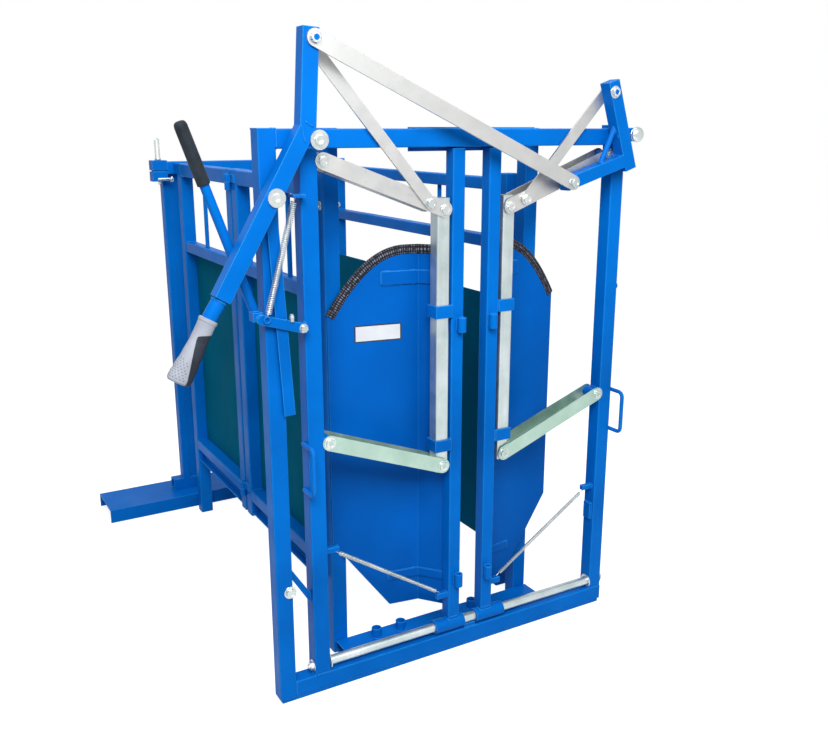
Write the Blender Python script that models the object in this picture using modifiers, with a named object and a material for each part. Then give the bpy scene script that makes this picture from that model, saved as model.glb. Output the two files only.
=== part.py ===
"""Sheep handling cage with a scissor-linked head yoke at its front.

Metres. X runs to the right, Y to the rear and Z up; the origin is under the middle of the front
portal, on the floor. Every seam between two pieces keeps SEAT, every turning fit keeps RUN.
"""

import math

import bmesh
import bpy
from mathutils import Matrix, Vector

SEAT = 0.0003
RUN = 0.0004
WALL = 0.002
CORNER = 0.003
SIDES = 20

PORTAL = 0.0381
LEAF = 0.0318
SKID = 0.008
BEAM_TOP = 1.248
PORTAL_HALF = 0.421
LEG_X = -PORTAL_HALF - 0.066

LINK_REST = math.asin(0.35)
BAR_X = 0.0865
LEAF_X = 0.0477
POST_PIN_X = PORTAL_HALF - PORTAL - 0.01088
LINK = (POST_PIN_X - BAR_X) / math.cos(LINK_REST)
UPPER_PIN_Z = 1.186
LOWER_PIN_Z = 0.597
CHANNEL_HIGH = 0.034
CHANNEL_WALL = 0.003
CHANNEL_INNER = 0.0197
PIN_R = 0.006
HEAD_R = 0.0105
BOLT_HIGH = 0.0048

LEVER_PIN = Vector((0.0240 - PORTAL_HALF, 1.2268))
CRANK_PIN = Vector((PORTAL_HALF - 0.0045, 1.2340))
LEVER_LINK_PIN = Vector((0.0198 - PORTAL_HALF, 1.4115))
CRANK_LONG_PIN = Vector((PORTAL_HALF - 0.1905, 1.1286))
CRANK_PUSH_PIN = Vector((PORTAL_HALF - 0.0774, 1.328))
LOCK_PIN = Vector((-PORTAL_HALF - 0.0671, 1.1203))
PUSH_REACH = LINK - 0.0428
STRAP = 0.005

RAIL_R = 0.011
RAIL_Y = -0.006
SLEEVE_R = 0.017

BODY_LEFT = -0.318
BODY_RIGHT = 0.245
WALL_TOP = 1.144
SHEET = 0.003

BEAM_LOW = BEAM_TOP - PORTAL
RAIL_TOP = SKID + PORTAL
HALF = PORTAL / 2
LEAF_HALF = LEAF / 2
CHANNEL_OUTER = CHANNEL_INNER + CHANNEL_WALL
PUSH_BACK = -CHANNEL_OUTER - SEAT
PUSH_FRONT = PUSH_BACK - STRAP
ARM_BACK = PUSH_FRONT - SEAT
ARM_FRONT = ARM_BACK - LEAF
LONG_BACK = ARM_FRONT - SEAT
LONG_FRONT = LONG_BACK - STRAP

for old in list(bpy.data.objects):
    bpy.data.objects.remove(old, do_unlink=True)

cage = bpy.data.collections.new("sheep_handling_cage")
bpy.context.scene.collection.children.link(cage)
tools = bpy.data.collections.new("cutters_and_joiners")
bpy.context.scene.collection.children.link(tools)


def paint(name, colour, metallic, roughness):
    made = bpy.data.materials.new(name)
    made.use_nodes = True
    shader = made.node_tree.nodes["Principled BSDF"]
    shader.inputs["Base Color"].default_value = (*colour, 1)
    shader.inputs["Metallic"].default_value = metallic
    shader.inputs["Roughness"].default_value = roughness
    return made


BLUE = paint("blue_paint", (0.0, 0.125, 0.55), 0.0, 0.35)
ZINC = paint("zinc_plate", (0.62, 0.65, 0.64), 0.9, 0.4)
RUBBER = paint("black_rubber", (0.02, 0.02, 0.02), 0.0, 0.8)
FOAM = paint("black_foam", (0.03, 0.03, 0.035), 0.0, 0.9)
GREY = paint("grey_grip", (0.42, 0.43, 0.45), 0.0, 0.7)


def box(low, high):
    form = bmesh.new()
    low = Vector(low)
    high = Vector(high)
    sorted_low = Vector(map(min, low, high))
    sorted_high = Vector(map(max, low, high))
    size = sorted_high - sorted_low
    place = Matrix.Translation((low + high) / 2) @ Matrix.Diagonal((*size, 1))
    bmesh.ops.create_cube(form, size=1, matrix=place)
    return form


def rod(start, end, radius, sides=SIDES, end_radius=None):
    form = bmesh.new()
    start = Vector(start)
    end = Vector(end)
    along = end - start
    turn = along.to_track_quat("Z", "Y").to_matrix().to_4x4()
    bmesh.ops.create_cone(
        form,
        cap_ends=True,
        segments=sides,
        radius1=radius,
        radius2=radius if end_radius is None else end_radius,
        depth=along.length,
        matrix=Matrix.Translation((start + end) / 2) @ turn,
    )
    return form


def pin(spot, front, back, radius, sides=SIDES):
    """A rod along Y at a spot given as (x, z)."""
    return rod((spot[0], front, spot[1]), (spot[0], back, spot[1]), radius, sides)


def turned(spot, profile, sides=SIDES):
    """A solid of turning round an axis along Y at the spot (x, z); the profile holds (y, radius)."""
    form = bmesh.new()
    line = [(profile[0][0], 0)] + list(profile) + [(profile[-1][0], 0)]
    knots = [form.verts.new((spot[0] + radius, y, spot[1])) for y, radius in line]
    edges = [form.edges.new(pair) for pair in zip(knots, knots[1:])]
    bmesh.ops.spin(
        form,
        geom=knots + edges,
        cent=(spot[0], 0, spot[1]),
        axis=(0, 1, 0),
        angle=2 * math.pi,
        steps=sides,
    )
    bmesh.ops.remove_doubles(form, verts=form.verts, dist=0.00001)
    bmesh.ops.recalc_face_normals(form, faces=form.faces)
    return form


def prism(outline, axis, low, high):
    """The outline, given in the two other axes in their order, pushed from low to high."""
    form = bmesh.new()
    spots = []
    for first, second in outline:
        spot = [first, second]
        spot.insert("xyz".index(axis), low)
        spots.append(form.verts.new(spot))
    face = form.faces.new(spots)
    grown = bmesh.ops.extrude_face_region(form, geom=[face])
    moved = [item for item in grown["geom"] if isinstance(item, bmesh.types.BMVert)]
    push = Vector((0, 0, 0))
    push["xyz".index(axis)] = high - low
    bmesh.ops.translate(form, verts=moved, vec=push)
    bmesh.ops.recalc_face_normals(form, faces=form.faces)
    return form


def smoothed(thing):
    thing.data.shade_smooth()
    sharp = thing.modifiers.new("edges", "EDGE_SPLIT")
    sharp.split_angle = math.radians(40)


def node(name, form, material, origin=(0, 0, 0)):
    mesh = bpy.data.meshes.new(name)
    form.transform(Matrix.Translation(-Vector(origin)))
    form.to_mesh(mesh)
    form.free()
    mesh.materials.append(material)
    thing = bpy.data.objects.new(name, mesh)
    thing.location = origin
    cage.objects.link(thing)
    return thing


def helper(thing, form):
    mesh = bpy.data.meshes.new(thing.name + "_tool")
    form.to_mesh(mesh)
    form.free()
    mesh.materials.append(thing.data.materials[0])
    tool = bpy.data.objects.new(mesh.name, mesh)
    tool.hide_render = True
    tool.display_type = "WIRE"
    tools.objects.link(tool)
    return tool


def boolean(thing, operation, forms):
    for form in forms:
        step = thing.modifiers.new(operation.lower(), "BOOLEAN")
        step.operation = operation
        step.solver = "EXACT"
        step.object = helper(thing, form)


def join(thing, *forms):
    boolean(thing, "UNION", forms)


def cut(thing, *forms):
    boolean(thing, "DIFFERENCE", forms)


def keep(thing, form):
    boolean(thing, "INTERSECT", [form])


def square_tube(name, low, high, axis, material=BLUE, origin=(0, 0, 0), wall=WALL):
    """A tube with rounded corners, open at its two ends along the axis."""
    form = box(low, high)
    form.normal_update()
    way = "xyz".index(axis)
    ends = [face for face in form.faces if abs(face.normal[way]) > 0.9]
    bmesh.ops.delete(form, geom=ends, context="FACES_ONLY")
    long_edges = [
        edge for edge in form.edges if abs((edge.verts[0].co - edge.verts[1].co)[way]) > SEAT
    ]
    bmesh.ops.bevel(
        form, geom=long_edges, offset=CORNER, segments=2, profile=0.5, affect="EDGES"
    )
    thing = node(name, form, material, origin)
    shell = thing.modifiers.new("wall", "SOLIDIFY")
    shell.thickness = wall
    shell.offset = -1
    shell.use_even_offset = True
    return thing


def band(points, half, start_over=0.0, end_over=0.0):
    """The outline of a bent flat bar of this half width along the points, mitred at the bends."""
    spots = [Vector(point) for point in points]
    spots[0] = spots[0] - (spots[1] - spots[0]).normalized() * start_over
    spots[-1] = spots[-1] + (spots[-1] - spots[-2]).normalized() * end_over
    left = []
    right = []
    for index, spot in enumerate(spots):
        before = (spot - spots[index - 1]).normalized() if index else None
        after = (spots[index + 1] - spot).normalized() if index + 1 < len(spots) else before
        before = before or after
        middle = (before + after).normalized()
        side = Vector((-middle.y, middle.x)) * (half / max(middle.dot(after), 0.2))
        left.append(spot + side)
        right.append(spot - side)
    return left + right[::-1]


def strap(start, end, radius, start_over=0.0, end_over=0.0, steps=8):
    """The outline of a flat link with round ends; an end with an overrun is square."""
    start = Vector(start)
    end = Vector(end)
    along = (end - start).normalized()
    aside = Vector((-along.y, along.x))
    outline = []
    for centre, way, over in ((end, 1, end_over), (start, -1, start_over)):
        if over:
            outline.append(centre + along * way * over - aside * way * radius)
            outline.append(centre + along * way * over + aside * way * radius)
            continue
        for step in range(steps + 1):
            turn = math.pi * step / steps - math.pi / 2
            outline.append(
                centre
                + along * way * math.cos(turn) * radius
                + aside * way * math.sin(turn) * radius
            )
    return outline


def swept(name, points, radius, material, sides=12, origin=(0, 0, 0)):
    """A round bar along the points, with flat closed ends."""
    curve = bpy.data.curves.new(name, "CURVE")
    curve.dimensions = "3D"
    curve.bevel_depth = radius
    curve.bevel_resolution = sides // 2 - 2
    curve.use_fill_caps = True
    line = curve.splines.new("POLY")
    line.points.add(len(points) - 1)
    for knot, point in zip(line.points, points):
        knot.co = (*(Vector(point) - Vector(origin)), 1)
    curve.materials.append(material)
    thing = bpy.data.objects.new(name, curve)
    thing.location = origin
    cage.objects.link(thing)
    return thing


# Front portal

beam = square_tube(
    "top_beam", (LEG_X + HALF + SEAT, -HALF, BEAM_LOW), (PORTAL_HALF, HALF, BEAM_TOP), "x"
)
GUIDE_HALF = 0.155
GUIDE_BACK = LEAF_HALF + 0.003
join(
    beam,
    box((-GUIDE_HALF, -0.010, BEAM_TOP - 0.0005), (GUIDE_HALF, 0.0215, BEAM_TOP + 0.003)),
    box((-GUIDE_HALF, GUIDE_BACK, BEAM_LOW - 0.009), (GUIDE_HALF, 0.022, BEAM_TOP + 0.003)),
    box(
        (PORTAL_HALF - 0.049, -0.012, BEAM_TOP - 0.001),
        (PORTAL_HALF - 0.021, 0.012, BEAM_TOP + 0.008),
    ),
)

bottom = square_tube(
    "bottom_rail", (LEG_X + HALF + SEAT, -HALF, SKID), (PORTAL_HALF, HALF, RAIL_TOP), "x"
)
RAIL_Z = RAIL_TOP + SLEEVE_R + 0.003
join(
    bottom,
    box((LEG_X - 0.015, -HALF + 0.002, 0), (PORTAL_HALF - 0.005, HALF - 0.002, SKID - SEAT)),
    box((LEG_X + HALF + 0.001, -0.012, 0.004), (PORTAL_HALF - 0.006, 0.012, SKID + 0.001)),
    box((-0.015, -0.015, RAIL_TOP - 0.001), (0.015, 0.012, RAIL_Z - RAIL_R - SEAT)),
)

leg = square_tube(
    "outer_leg", (LEG_X - HALF, -HALF, SKID), (LEG_X + HALF, HALF, BEAM_TOP), "z"
)
join(leg, box((LEG_X - HALF, -HALF, BEAM_TOP - 0.002), (LEG_X + HALF, HALF, BEAM_TOP + 0.001)))


def portal_post(name, side):
    inner = side * (PORTAL_HALF - PORTAL)
    post = square_tube(
        name, (inner, -HALF, RAIL_TOP + SEAT), (side * PORTAL_HALF, HALF, BEAM_LOW - SEAT), "z"
    )
    boss = CHANNEL_INNER - SEAT
    for height in (UPPER_PIN_Z, LOWER_PIN_Z):
        spot = (side * POST_PIN_X, height)
        join(
            post,
            box(
                (side * POST_PIN_X, -boss, height - 0.0125),
                (inner + side * 0.0012, boss, height + 0.0125),
            ),
            pin(spot, -boss, boss, 0.0125),
        )
        cut(post, pin(spot, -boss - 0.01, boss + 0.01, PIN_R + RUN, 16))
    join(
        post,
        box(
            (inner + side * 0.001, -0.010, 0.3345),
            (inner - side * 0.0319, 0.002, 0.3465),
        ),
    )
    return post


left_post = portal_post("left_post", -1)
LEFT_FACE = -PORTAL_HALF
LATCH_PIN = Vector((LEFT_FACE - 0.009, 0.857))
LATCH_FRONT = -0.035
LATCH_BACK = -0.029
join(
    left_post,
    prism(
        [
            (LEG_X + 0.021, 0.2955),
            (LEG_X + 0.0194, 0.321),
            (LEFT_FACE + 0.0014, 0.246),
            (LEFT_FACE + 0.0014, 0.220),
        ],
        "y",
        -0.003,
        0.003,
    ),
    box(
        (LEFT_FACE + 0.001, -0.0285, LATCH_PIN.y - 0.010),
        (LATCH_PIN.x, -0.010, LATCH_PIN.y + 0.010),
    ),
    pin(LATCH_PIN, LATCH_BACK + SEAT, -0.010, 0.010),
    box((LEFT_FACE + 0.001, -0.0415, 1.118), (LEFT_FACE - 0.024, -0.012, 1.124)),
)
cut(left_post, pin(LATCH_PIN, -0.040, 0.0, 0.005 + RUN, 16))

right_post = portal_post("right_post", 1)
join(
    right_post,
    rod((PORTAL_HALF - 0.001, 0, 0.867), (PORTAL_HALF + 0.012, 0, 0.867), 0.008, 16),
    box(
        (PORTAL_HALF - PORTAL - 0.0069, -0.012, 0.248),
        (PORTAL_HALF - PORTAL + 0.0011, 0.012, 0.293),
    ),
)

node(
    "leaf_rail_tube",
    rod(
        (-PORTAL_HALF + PORTAL + SEAT, RAIL_Y, RAIL_Z),
        (PORTAL_HALF - PORTAL - SEAT, RAIL_Y, RAIL_Z),
        RAIL_R,
    ),
    ZINC,
)


def hand_loop(name, side):
    """A bent bar whose two legs are welded to the outer side of a portal post."""
    x = side * (PORTAL_HALF + 0.005 + SEAT)
    low = 0.495
    high = 0.600
    bend = 0.012
    turns = [math.radians(30 * step) for step in range(4)]
    points = [(x, -0.002, low)]
    for turn in turns:
        points.append((x, -0.043 - bend * math.sin(turn), low + bend - bend * math.cos(turn)))
    for turn in turns:
        points.append((x, -0.043 - bend * math.cos(turn), high - bend + bend * math.sin(turn)))
    points.append((x, -0.002, high))
    swept(name, points, 0.005, BLUE, 10)


hand_loop("left_handle", -1)
hand_loop("right_handle", 1)

# Yoke leaves

SPRING_LUG_Z = 0.155


def bent_sheet(plan, front, back, low, high, start_over=0.0, end_over=0.0):
    """A sheet that follows the plan line, from the front offset to the back one, standing in Z."""
    lines = []
    for offset in (front, back):
        outline = band(plan, abs(offset) or 1e-9, start_over, end_over)
        count = len(plan)
        lines.append(outline[:count] if offset > 0 else outline[count:][::-1])
    return prism(lines[0] + lines[1][::-1], "z", low, high)


def leaf(side, word):
    centre = side * LEAF_X
    origin = (centre, 0, RAIL_Z)
    post = square_tube(
        word + "_leaf",
        (centre - LEAF_HALF, -LEAF_HALF, RAIL_Z + RAIL_R + 0.002),
        (centre + LEAF_HALF, LEAF_HALF, BEAM_LOW - 0.003),
        "z",
        BLUE,
        origin,
    )
    join(
        post,
        rod((side * 0.018, RAIL_Y, RAIL_Z), (side * 0.100, RAIL_Y, RAIL_Z), SLEEVE_R),
        box(
            (centre - LEAF_HALF + 0.001, -0.012, RAIL_Z + RAIL_R),
            (centre + LEAF_HALF - 0.001, 0.004, RAIL_Z + 0.026),
        ),
    )
    cut(post, rod((side * 0.01, RAIL_Y, RAIL_Z), (side * 0.11, RAIL_Y, RAIL_Z), RAIL_R + RUN))
    bar_inner = BAR_X - LEAF_HALF - 0.0005
    bar_outer = BAR_X + LEAF_HALF + 0.0005
    for height in (0.853, 0.538):
        ring = box(
            (side * (LEAF_X + LEAF_HALF - 0.001), -CHANNEL_INNER + SEAT, height - 0.014),
            (side * (bar_outer + 0.003), CHANNEL_INNER - SEAT, height + 0.014),
        )
        hole = box(
            (side * bar_inner, -LEAF_HALF - 0.0005, height - 0.02),
            (side * bar_outer, LEAF_HALF + 0.0005, height + 0.02),
        )
        join(post, ring)
        cut(post, hole)
    join(
        post,
        box(
            (side * (LEAF_X + LEAF_HALF - 0.001), -0.010, SPRING_LUG_Z - 0.014),
            (side * 0.092, 0.002, SPRING_LUG_Z),
        ),
    )
    bar_origin = (side * BAR_X, 0, UPPER_PIN_Z - LINK * math.sin(LINK_REST))
    square_tube(
        word + "_bar",
        (side * BAR_X - LEAF_HALF, -LEAF_HALF, LOWER_PIN_Z - LINK * math.sin(LINK_REST) - 0.015),
        (side * BAR_X + LEAF_HALF, LEAF_HALF, UPPER_PIN_Z - LINK * math.sin(LINK_REST) + 0.024),
        "z",
        ZINC,
        bar_origin,
    )


PLAN = [(0.036, 0.01775), (0.056, 0.01775), (0.099, 0.072), (0.315, 0.106)]
PANEL_LOW = 0.108
PANEL_HIGH = 0.993
FLAT_END = 0.130
EDGE_TOP = 0.8465
ARCH_POWER = 2.1
EDGE_LOW = 0.295
EDGE_X = 0.3135


def arch(grow, steps=9):
    """The arched edge of a shoulder panel as (x, z), moved square to itself by grow."""
    wide = EDGE_X - FLAT_END
    high = PANEL_HIGH - EDGE_TOP
    points = []
    for step in range(steps + 1):
        share = step / steps
        slope = ARCH_POWER * high / wide * share ** (ARCH_POWER - 1)
        move = grow / math.hypot(slope, 1)
        x = FLAT_END + wide * share + slope * move
        z = PANEL_HIGH - high * share**ARCH_POWER + move
        points.append((x, z))
    return points


def panel_outline(side, grow):
    """The whole outline of a shoulder panel as (x, z), its arch grown outwards."""
    outline = [(0.030, PANEL_HIGH + grow)] + arch(grow)
    outline += [(EDGE_X + grow, EDGE_LOW), (0.174, PANEL_LOW), (0.030, PANEL_LOW)]
    return [(side * x, z) for x, z in outline]


def shoulder(side, word):
    plan = [(side * x, y) for x, y in PLAN]
    way = side
    origin = (side * LEAF_X, 0, RAIL_Z)
    near = -way * SHEET / 2
    far = way * SHEET / 2
    panel = node(
        word + "_shoulder_panel",
        bent_sheet(plan, near, far, 0.05, 1.1),
        BLUE,
        origin,
    )
    join(
        panel,
        bent_sheet(plan[1:], -way * 0.0055, 0.0005 * way, 0.176, 0.197, -0.004, -0.141),
        bent_sheet(plan[1:], -way * 0.0055, 0.0005 * way, 0.908, 0.938, -0.004, -0.128),
    )
    keep(panel, prism(panel_outline(side, 0), "y", 0.0, 0.2))

    trim = node(
        word + "_panel_trim",
        bent_sheet(plan[2:], -way * 0.0045, way * 0.0045, 0.70, 1.1, -0.004, 0.004),
        RUBBER,
        origin,
    )
    outline = arch(0.0035) + arch(-0.0185)[::-1]
    outline += [(0.105, PANEL_HIGH - 0.0185), (0.105, PANEL_HIGH + 0.0035)]
    keep(trim, prism([(side * x, z) for x, z in outline], "y", 0.0, 0.2))
    slot = bent_sheet(
        plan[1:], -way * (SHEET / 2 + SEAT), way * (SHEET / 2 + SEAT), 0.6, 1.2, 0.0, SEAT
    )
    slot_tool = helper(trim, slot)
    cap = slot_tool.modifiers.new("under the arch", "BOOLEAN")
    cap.operation = "INTERSECT"
    cap.solver = "EXACT"
    cap.object = helper(trim, prism(panel_outline(side, SEAT), "y", -0.01, 0.21))
    step = trim.modifiers.new("slot", "BOOLEAN")
    step.operation = "DIFFERENCE"
    step.solver = "EXACT"
    step.object = slot_tool


leaf(-1, "left")
leaf(1, "right")
shoulder(-1, "left")
shoulder(1, "right")


def channel_link(name, side, height):
    """A channel open upwards, with a bolt through its boss end and a bolt head at its bar end."""
    root = Vector((side * POST_PIN_X, height))
    way = Vector((-side * math.cos(LINK_REST), -math.sin(LINK_REST)))
    tip = root + way * LINK
    radius = CHANNEL_HIGH / 2
    origin = (root.x, 0, root.y)
    link = node(
        name,
        prism(strap(root, tip, radius), "y", -CHANNEL_OUTER, -CHANNEL_INNER),
        ZINC,
        origin,
    )
    back_tip = root + way * (LINK - 0.028)
    web_start = root + way * 0.027
    web_end = root + way * (LINK - 0.050)
    under = Vector((-side * way.y, side * way.x))
    under = under if under.y < 0 else -under
    web = [
        web_start + under * radius,
        web_end + under * radius,
        web_end + under * (radius - CHANNEL_WALL),
        web_start + under * (radius - CHANNEL_WALL),
    ]
    join(
        link,
        prism(web, "y", -CHANNEL_OUTER + 0.0005, CHANNEL_OUTER - 0.0005),
        prism(strap(root, back_tip, radius), "y", CHANNEL_INNER, CHANNEL_OUTER),
        pin(root, -CHANNEL_OUTER - BOLT_HIGH, CHANNEL_OUTER + BOLT_HIGH, PIN_R, 16),
        pin(root, -CHANNEL_OUTER - BOLT_HIGH, -CHANNEL_OUTER + 0.001, HEAD_R, 6),
        pin(root, CHANNEL_OUTER - 0.001, CHANNEL_OUTER + BOLT_HIGH - 0.0005, HEAD_R, 6),
        pin(tip, -CHANNEL_OUTER - BOLT_HIGH, -CHANNEL_OUTER + 0.001, HEAD_R, 6),
    )


channel_link("left_upper_channel", -1, UPPER_PIN_Z)
channel_link("right_upper_channel", 1, UPPER_PIN_Z)
channel_link("left_lower_channel", -1, LOWER_PIN_Z)
channel_link("right_lower_channel", 1, LOWER_PIN_Z)

# Lever, crank and links


def push_end(side):
    return Vector((side * POST_PIN_X, UPPER_PIN_Z)) + PUSH_REACH * Vector(
        (-side * math.cos(LINK_REST), -math.sin(LINK_REST))
    )


def flat_link(name, hung, far, half, front, back, far_head):
    """A flat bar with a bore at the pin it hangs on and a bolt head at its far end."""
    link = node(
        name, prism(strap(hung, far, half), "y", front, back), ZINC, (hung.x, 0, hung.y)
    )
    cut(link, pin(hung, front - 0.01, back + 0.01, PIN_R + RUN, 16))
    join(link, pin(far, far_head, back - 0.001, HEAD_R, 6))


flat_link(
    "long_link", LEVER_LINK_PIN, CRANK_LONG_PIN, 0.0165, LONG_FRONT, LONG_BACK, LONG_FRONT - 0.007
)
flat_link(
    "left_push_link",
    LEVER_LINK_PIN,
    push_end(-1),
    0.0130,
    PUSH_FRONT,
    PUSH_BACK,
    PUSH_FRONT - 0.006,
)
flat_link(
    "right_push_link",
    CRANK_PUSH_PIN,
    push_end(1),
    0.0130,
    PUSH_FRONT,
    PUSH_BACK,
    PUSH_FRONT - 0.006,
)

LEVER_LINE = [
    (LEFT_FACE + 0.0145, 1.431),
    (LEFT_FACE + 0.0030, 1.250),
    (LEFT_FACE - 0.1820, 0.934),
]
lever = node(
    "lever",
    prism(band(LEVER_LINE, 0.0165), "y", ARM_FRONT, ARM_BACK),
    BLUE,
    (LEVER_PIN.x, 0, LEVER_PIN.y),
)
cut(
    lever,
    prism(
        band(LEVER_LINE, 0.0165 - WALL, -0.003, 0.01), "y", ARM_FRONT + WALL, ARM_BACK - WALL
    ),
)
EAR_FRONT = ARM_FRONT + 0.0045
EAR_BACK = EAR_FRONT + 0.006
join(
    lever,
    prism(
        strap((LEFT_FACE + 0.0035, LEVER_PIN.y), LEVER_PIN, 0.0155), "y", EAR_FRONT, EAR_BACK
    ),
    pin(LEVER_LINK_PIN, LONG_FRONT - 0.007, PUSH_BACK + 0.006, PIN_R, 16),
    pin(LEVER_LINK_PIN, LONG_FRONT - 0.007, LONG_FRONT - SEAT, HEAD_R, 6),
    pin(LEVER_LINK_PIN, PUSH_BACK + SEAT, PUSH_BACK + 0.006, HEAD_R, 6),
    pin(LOCK_PIN, ARM_FRONT - 0.003, PUSH_BACK + 0.003, PIN_R, 16),
    pin(LOCK_PIN, ARM_FRONT - 0.003, ARM_FRONT + 0.001, 0.0175),
    pin(LOCK_PIN, PUSH_BACK + SEAT, PUSH_BACK + 0.003, HEAD_R, 6),
)
cut(lever, pin(LEVER_PIN, ARM_FRONT - 0.01, ARM_BACK + 0.01, PIN_R + RUN, 16))

DISC_BACK = ARM_FRONT - SEAT
SPACER_R = 0.0100
DISC_R = 0.0185


def pivot_profile(head):
    """The stepped stud of a pivot: spacer, shank in the ear, spacer, then the head's own steps."""
    return [
        (-HALF - SEAT, SPACER_R),
        (EAR_BACK + SEAT, SPACER_R),
        (EAR_BACK + SEAT, PIN_R),
        (EAR_FRONT - SEAT, PIN_R),
        (EAR_FRONT - SEAT, SPACER_R),
        (DISC_BACK, SPACER_R),
    ] + [(DISC_BACK - step, radius) for step, radius in head]


node(
    "lever_pivot_bolt",
    turned(
        LEVER_PIN,
        pivot_profile([(0, DISC_R), (0.003, DISC_R), (0.003, HEAD_R), (0.007, HEAD_R)]),
    ),
    ZINC,
)

GRIP_START = Vector((LEFT_FACE - 0.2040, 0.902))
GRIP_END = Vector((LEFT_FACE - 0.2775, 0.789))
ARM_MIDDLE = (ARM_FRONT + ARM_BACK) / 2
grip_way = (GRIP_END - GRIP_START).normalized()


def grip_form():
    """A round turned grip, wider and flattened towards its end."""
    form = bmesh.new()
    plug = LEAF_HALF - WALL - SEAT
    sections = (
        (-0.0500, 0.0128, plug),
        (-0.0350, 0.0128, plug),
        (-0.0350, 0.0148, 0.0148),
        (-0.0120, 0.0148, 0.0148),
        (-0.0060, 0.0165, 0.0160),
        (0.0120, 0.0180, 0.0170),
        (0.0450, 0.0170, 0.0165),
        (0.0800, 0.0185, 0.0170),
        (0.1100, 0.0220, 0.0180),
        (0.1280, 0.0225, 0.0180),
        (0.1350, 0.0180, 0.0140),
    )
    aside = Vector((-grip_way.y, grip_way.x))
    rings = []
    for along, half_wide, half_deep in sections:
        ring = []
        for step in range(20):
            turn = 2 * math.pi * step / 20
            spot = GRIP_START + grip_way * along + aside * half_wide * math.cos(turn)
            depth = ARM_MIDDLE + half_deep * math.sin(turn)
            ring.append(form.verts.new((spot.x, depth, spot.y)))
        rings.append(ring)
    for first, second in zip(rings, rings[1:]):
        for step in range(20):
            after = (step + 1) % 20
            form.faces.new((first[step], first[after], second[after], second[step]))
    form.faces.new(rings[0])
    form.faces.new(rings[-1])
    bmesh.ops.recalc_face_normals(form, faces=form.faces)
    return form


smoothed(node("lever_grip", grip_form(), GREY, (LEVER_PIN.x, 0, LEVER_PIN.y)))

CRANK_UPPER = [(PORTAL_HALF - 0.0815, 1.352), (PORTAL_HALF - 0.0190, 1.166)]
CRANK_LOWER = [(PORTAL_HALF - 0.0230, 1.178), tuple(CRANK_LONG_PIN)]
crank = node(
    "crank",
    prism(band(CRANK_UPPER, 0.0155, 0.0, 0.012), "y", ARM_FRONT, ARM_BACK),
    BLUE,
    (CRANK_PIN.x, 0, CRANK_PIN.y),
)
CRANK_EAR = [(PORTAL_HALF - 0.0430, CRANK_PIN.y), CRANK_PIN]
join(
    crank,
    prism(band(CRANK_LOWER, 0.0145, 0.0, 0.014), "y", ARM_FRONT, ARM_BACK),
    prism(strap(CRANK_EAR[0], CRANK_EAR[1], 0.0155), "y", EAR_FRONT, EAR_BACK),
    rod((PORTAL_HALF - 0.053, -0.044, 1.262), (PORTAL_HALF - 0.101, -0.044, 1.160), 0.0065, 12),
    pin(CRANK_PUSH_PIN, ARM_FRONT - 0.007, PUSH_BACK + 0.006, PIN_R, 16),
    pin(CRANK_PUSH_PIN, ARM_FRONT - 0.007, ARM_FRONT + 0.001, HEAD_R, 6),
    pin(CRANK_PUSH_PIN, PUSH_BACK + SEAT, PUSH_BACK + 0.006, HEAD_R, 6),
)
cut(crank, pin(CRANK_PIN, ARM_FRONT - 0.01, ARM_BACK + 0.01, PIN_R + RUN, 16))

node(
    "crank_pivot_bolt",
    turned(
        CRANK_PIN,
        pivot_profile([(0, 0.0165), (0.003, 0.0165), (0.008, 0.0120), (0.010, 0.0060)]),
    ),
    ZINC,
)

# Latch

ARM_TIP = Vector((LEFT_FACE - 0.0975, 0.8833))
arm = node(
    "latch_arm",
    prism(strap(LATCH_PIN, ARM_TIP, 0.0100), "y", LATCH_FRONT, LATCH_BACK),
    BLUE,
    (LATCH_PIN.x, 0, LATCH_PIN.y),
)
TUBE_Y = -0.0065
TUBE_R = 0.0095
TUBE_LOW = Vector((LEFT_FACE - 0.0982, TUBE_Y, 0.8854))
TUBE_HIGH = Vector((LEFT_FACE - 0.2267, TUBE_Y, 1.2544))
tube_way = (TUBE_HIGH - TUBE_LOW).normalized()
join(
    arm,
    pin(LATCH_PIN, LATCH_FRONT - 0.006, -0.012, 0.005, 16),
    pin(LATCH_PIN, LATCH_FRONT - 0.006, LATCH_FRONT + 0.001, 0.0080, 6),
    box(
        (TUBE_LOW.x - 0.0150, LATCH_BACK - 0.001, 0.8790),
        (TUBE_LOW.x + 0.0055, TUBE_Y, 0.8975),
    ),
    rod(TUBE_LOW, TUBE_HIGH, TUBE_R),
)
foam = node(
    "release_grip",
    rod(TUBE_HIGH - tube_way * 0.115, TUBE_HIGH + tube_way * 0.007, 0.0130),
    FOAM,
    (LATCH_PIN.x, 0, LATCH_PIN.y),
)
cut(foam, rod(TUBE_HIGH - tube_way * 0.12, TUBE_HIGH + tube_way * SEAT, TUBE_R + SEAT))

lock_end = Vector((LEFT_FACE - 0.043, 0.688))
lock_line = (lock_end - LOCK_PIN).normalized()
bar = node(
    "lock_bar",
    prism(strap(LOCK_PIN, lock_end, 0.0120, 0.0, 0.0125), "y", PUSH_FRONT, PUSH_BACK),
    BLUE,
    (LOCK_PIN.x, 0, LOCK_PIN.y),
)
cut(bar, pin(LOCK_PIN, PUSH_FRONT - 0.01, PUSH_BACK + 0.01, PIN_R + RUN, 16))


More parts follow.
